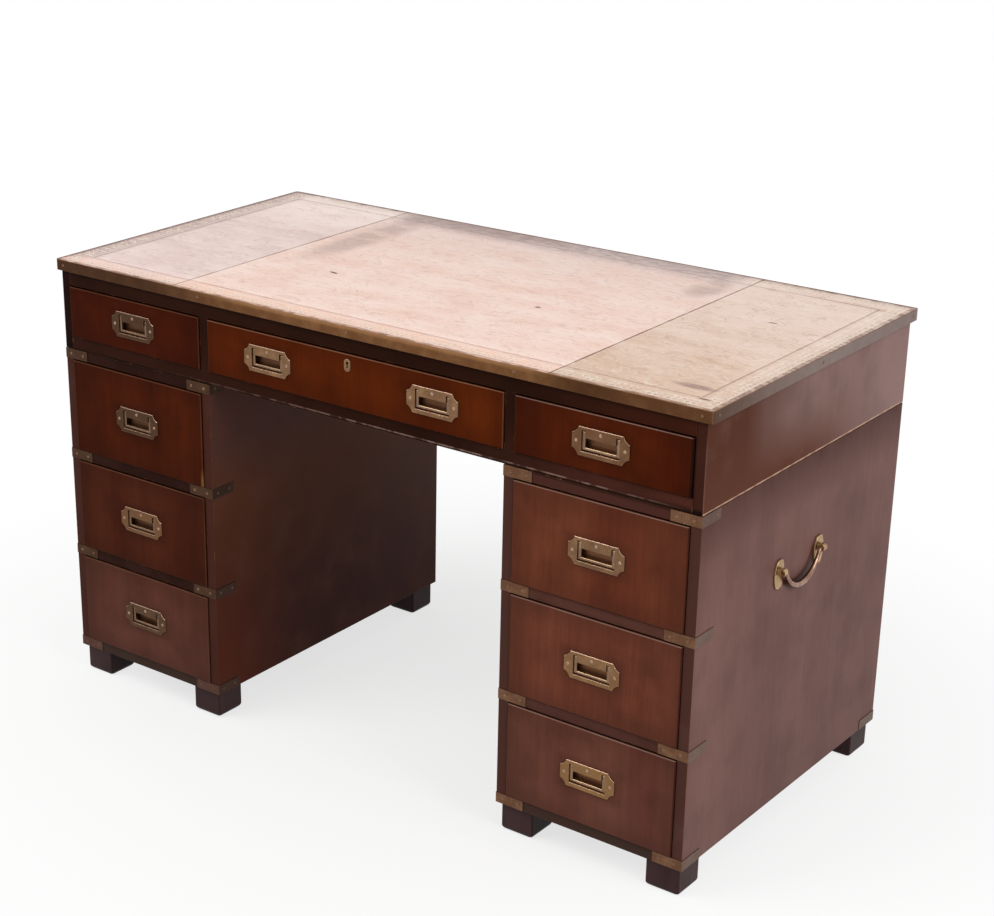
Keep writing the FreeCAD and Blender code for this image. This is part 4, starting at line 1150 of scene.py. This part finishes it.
# %% Lay the leather
HALF_JOINT = 0.15
LEFT_SHADES = [
    ([("y", 80, 200)], "#FCEAE1", 0.8),
    ([("x", -580, -612)], "#B79C96", 0.85),
    ([("y", -265, -290)], "#F6CDBA", 0.8),
]
MIDDLE_SHADES = [([("y", 60, 260)], "#E6CFC9", 0.5), ([("y", -262, -285)], "#F4CAB4", 0.85)]
RIGHT_SHADES = [([("y", -120, 140)], "#F0D8CB", 0.75), ([("y", -150, -270)], "#D4B49C", 0.6)]
GRIME = [([("y", 232, 284), ("x", 356, 310), ("x", -368, -335)], "#AC9A98", 0.85)]
# the hides' tones, painted pale for the strong light on the top
LEFT_TONES = ("#F0D8D2", "#E4CBC4", "#B59C93")
MIDDLE_TONES = ("#F8DDD1", "#F2D1C2", "#BC998B")
RIGHT_TONES = ("#E7CCBA", "#DBBDA7", "#A68A78")
HIDES = (
    ("left_leather", -HALF_X, -SEAM - HALF_JOINT, (-SEAM,), LEFT_TONES, LEFT_SHADES, []),
    ("middle_leather", -SEAM + HALF_JOINT, SEAM - HALF_JOINT, (-SEAM, SEAM), MIDDLE_TONES, MIDDLE_SHADES, GRIME),
    ("right_leather", SEAM + HALF_JOINT, HALF_X, (SEAM,), RIGHT_TONES, RIGHT_SHADES, []),
)
for name, low, high, seams, tones, shades, grime in HIDES:
    hide = leather(name + "_hide", *tones, shades, grime)
    new_piece(name, leather_panel(low, high, seams), hide, "top_section", "desk_leather", "leather_panels")

# %% [markdown]
# ## Dovetails
#
# A drawer's side is joined to its front with dovetails that stop short of the face, so they show only when the
# drawer is open: pale tails let into the dark end of the front. Each tail is a thin raised plate on the front's
# end, wider towards the face, as the joint is cut.

# %% Dovetails of the drawers
TAIL_DEPTH, TAIL_PROUD, TAIL_SUNK = 13.0, 0.12, 0.3
ROOM_BELOW, ROOM_ABOVE, TAIL_PITCH = 4, 2, 32
# half widths of a tail at the front's back and at its tip, as shares of the pitch
ROOT, TIP = 0.30, 0.40


def dovetails(drawer):
    """Tails on both ends of a drawer's front."""
    front_low, front_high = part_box(f"{drawer}_drawer_front")
    box_low, box_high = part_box(f"{drawer}_drawer_box")
    low, high = box_low.z / MM + ROOM_BELOW, box_high.z / MM - ROOM_ABOVE
    count = max(2, round((high - low) / TAIL_PITCH))
    pitch = (high - low) / count
    rear = front_high.y / MM
    points, faces = [], []
    for face_x, out in ((front_low.x / MM, -1), (front_high.x / MM, 1)):
        for i in range(count):
            middle = low + (i + 0.5) * pitch
            root, tip = pitch * ROOT, pitch * TIP
            outline = [
                (rear, middle - root), (rear - TAIL_DEPTH, middle - tip),
                (rear - TAIL_DEPTH, middle + tip), (rear, middle + root),
            ]
            start = len(points)
            points += [(face_x - out * TAIL_SUNK, y, z) for y, z in outline]
            points += [(face_x + out * TAIL_PROUD, y, z) for y, z in outline]
            ring = [(start + k, start + (k + 1) % 4, start + 4 + (k + 1) % 4, start + 4 + k) for k in range(4)]
            plate = ring + [tuple(start + k for k in (3, 2, 1, 0)), tuple(start + k for k in (4, 5, 6, 7))]
            faces += plate if out < 0 else [tuple(reversed(face)) for face in plate]
    return mesh_in_mm("dovetails", points, faces)


for drawer in FRONT_LEAVES_AS_LIT:
    body = f"{drawer}_drawer"
    new_piece(f"{body}_dovetails", dovetails(drawer), lining, body, "drawer_lining")
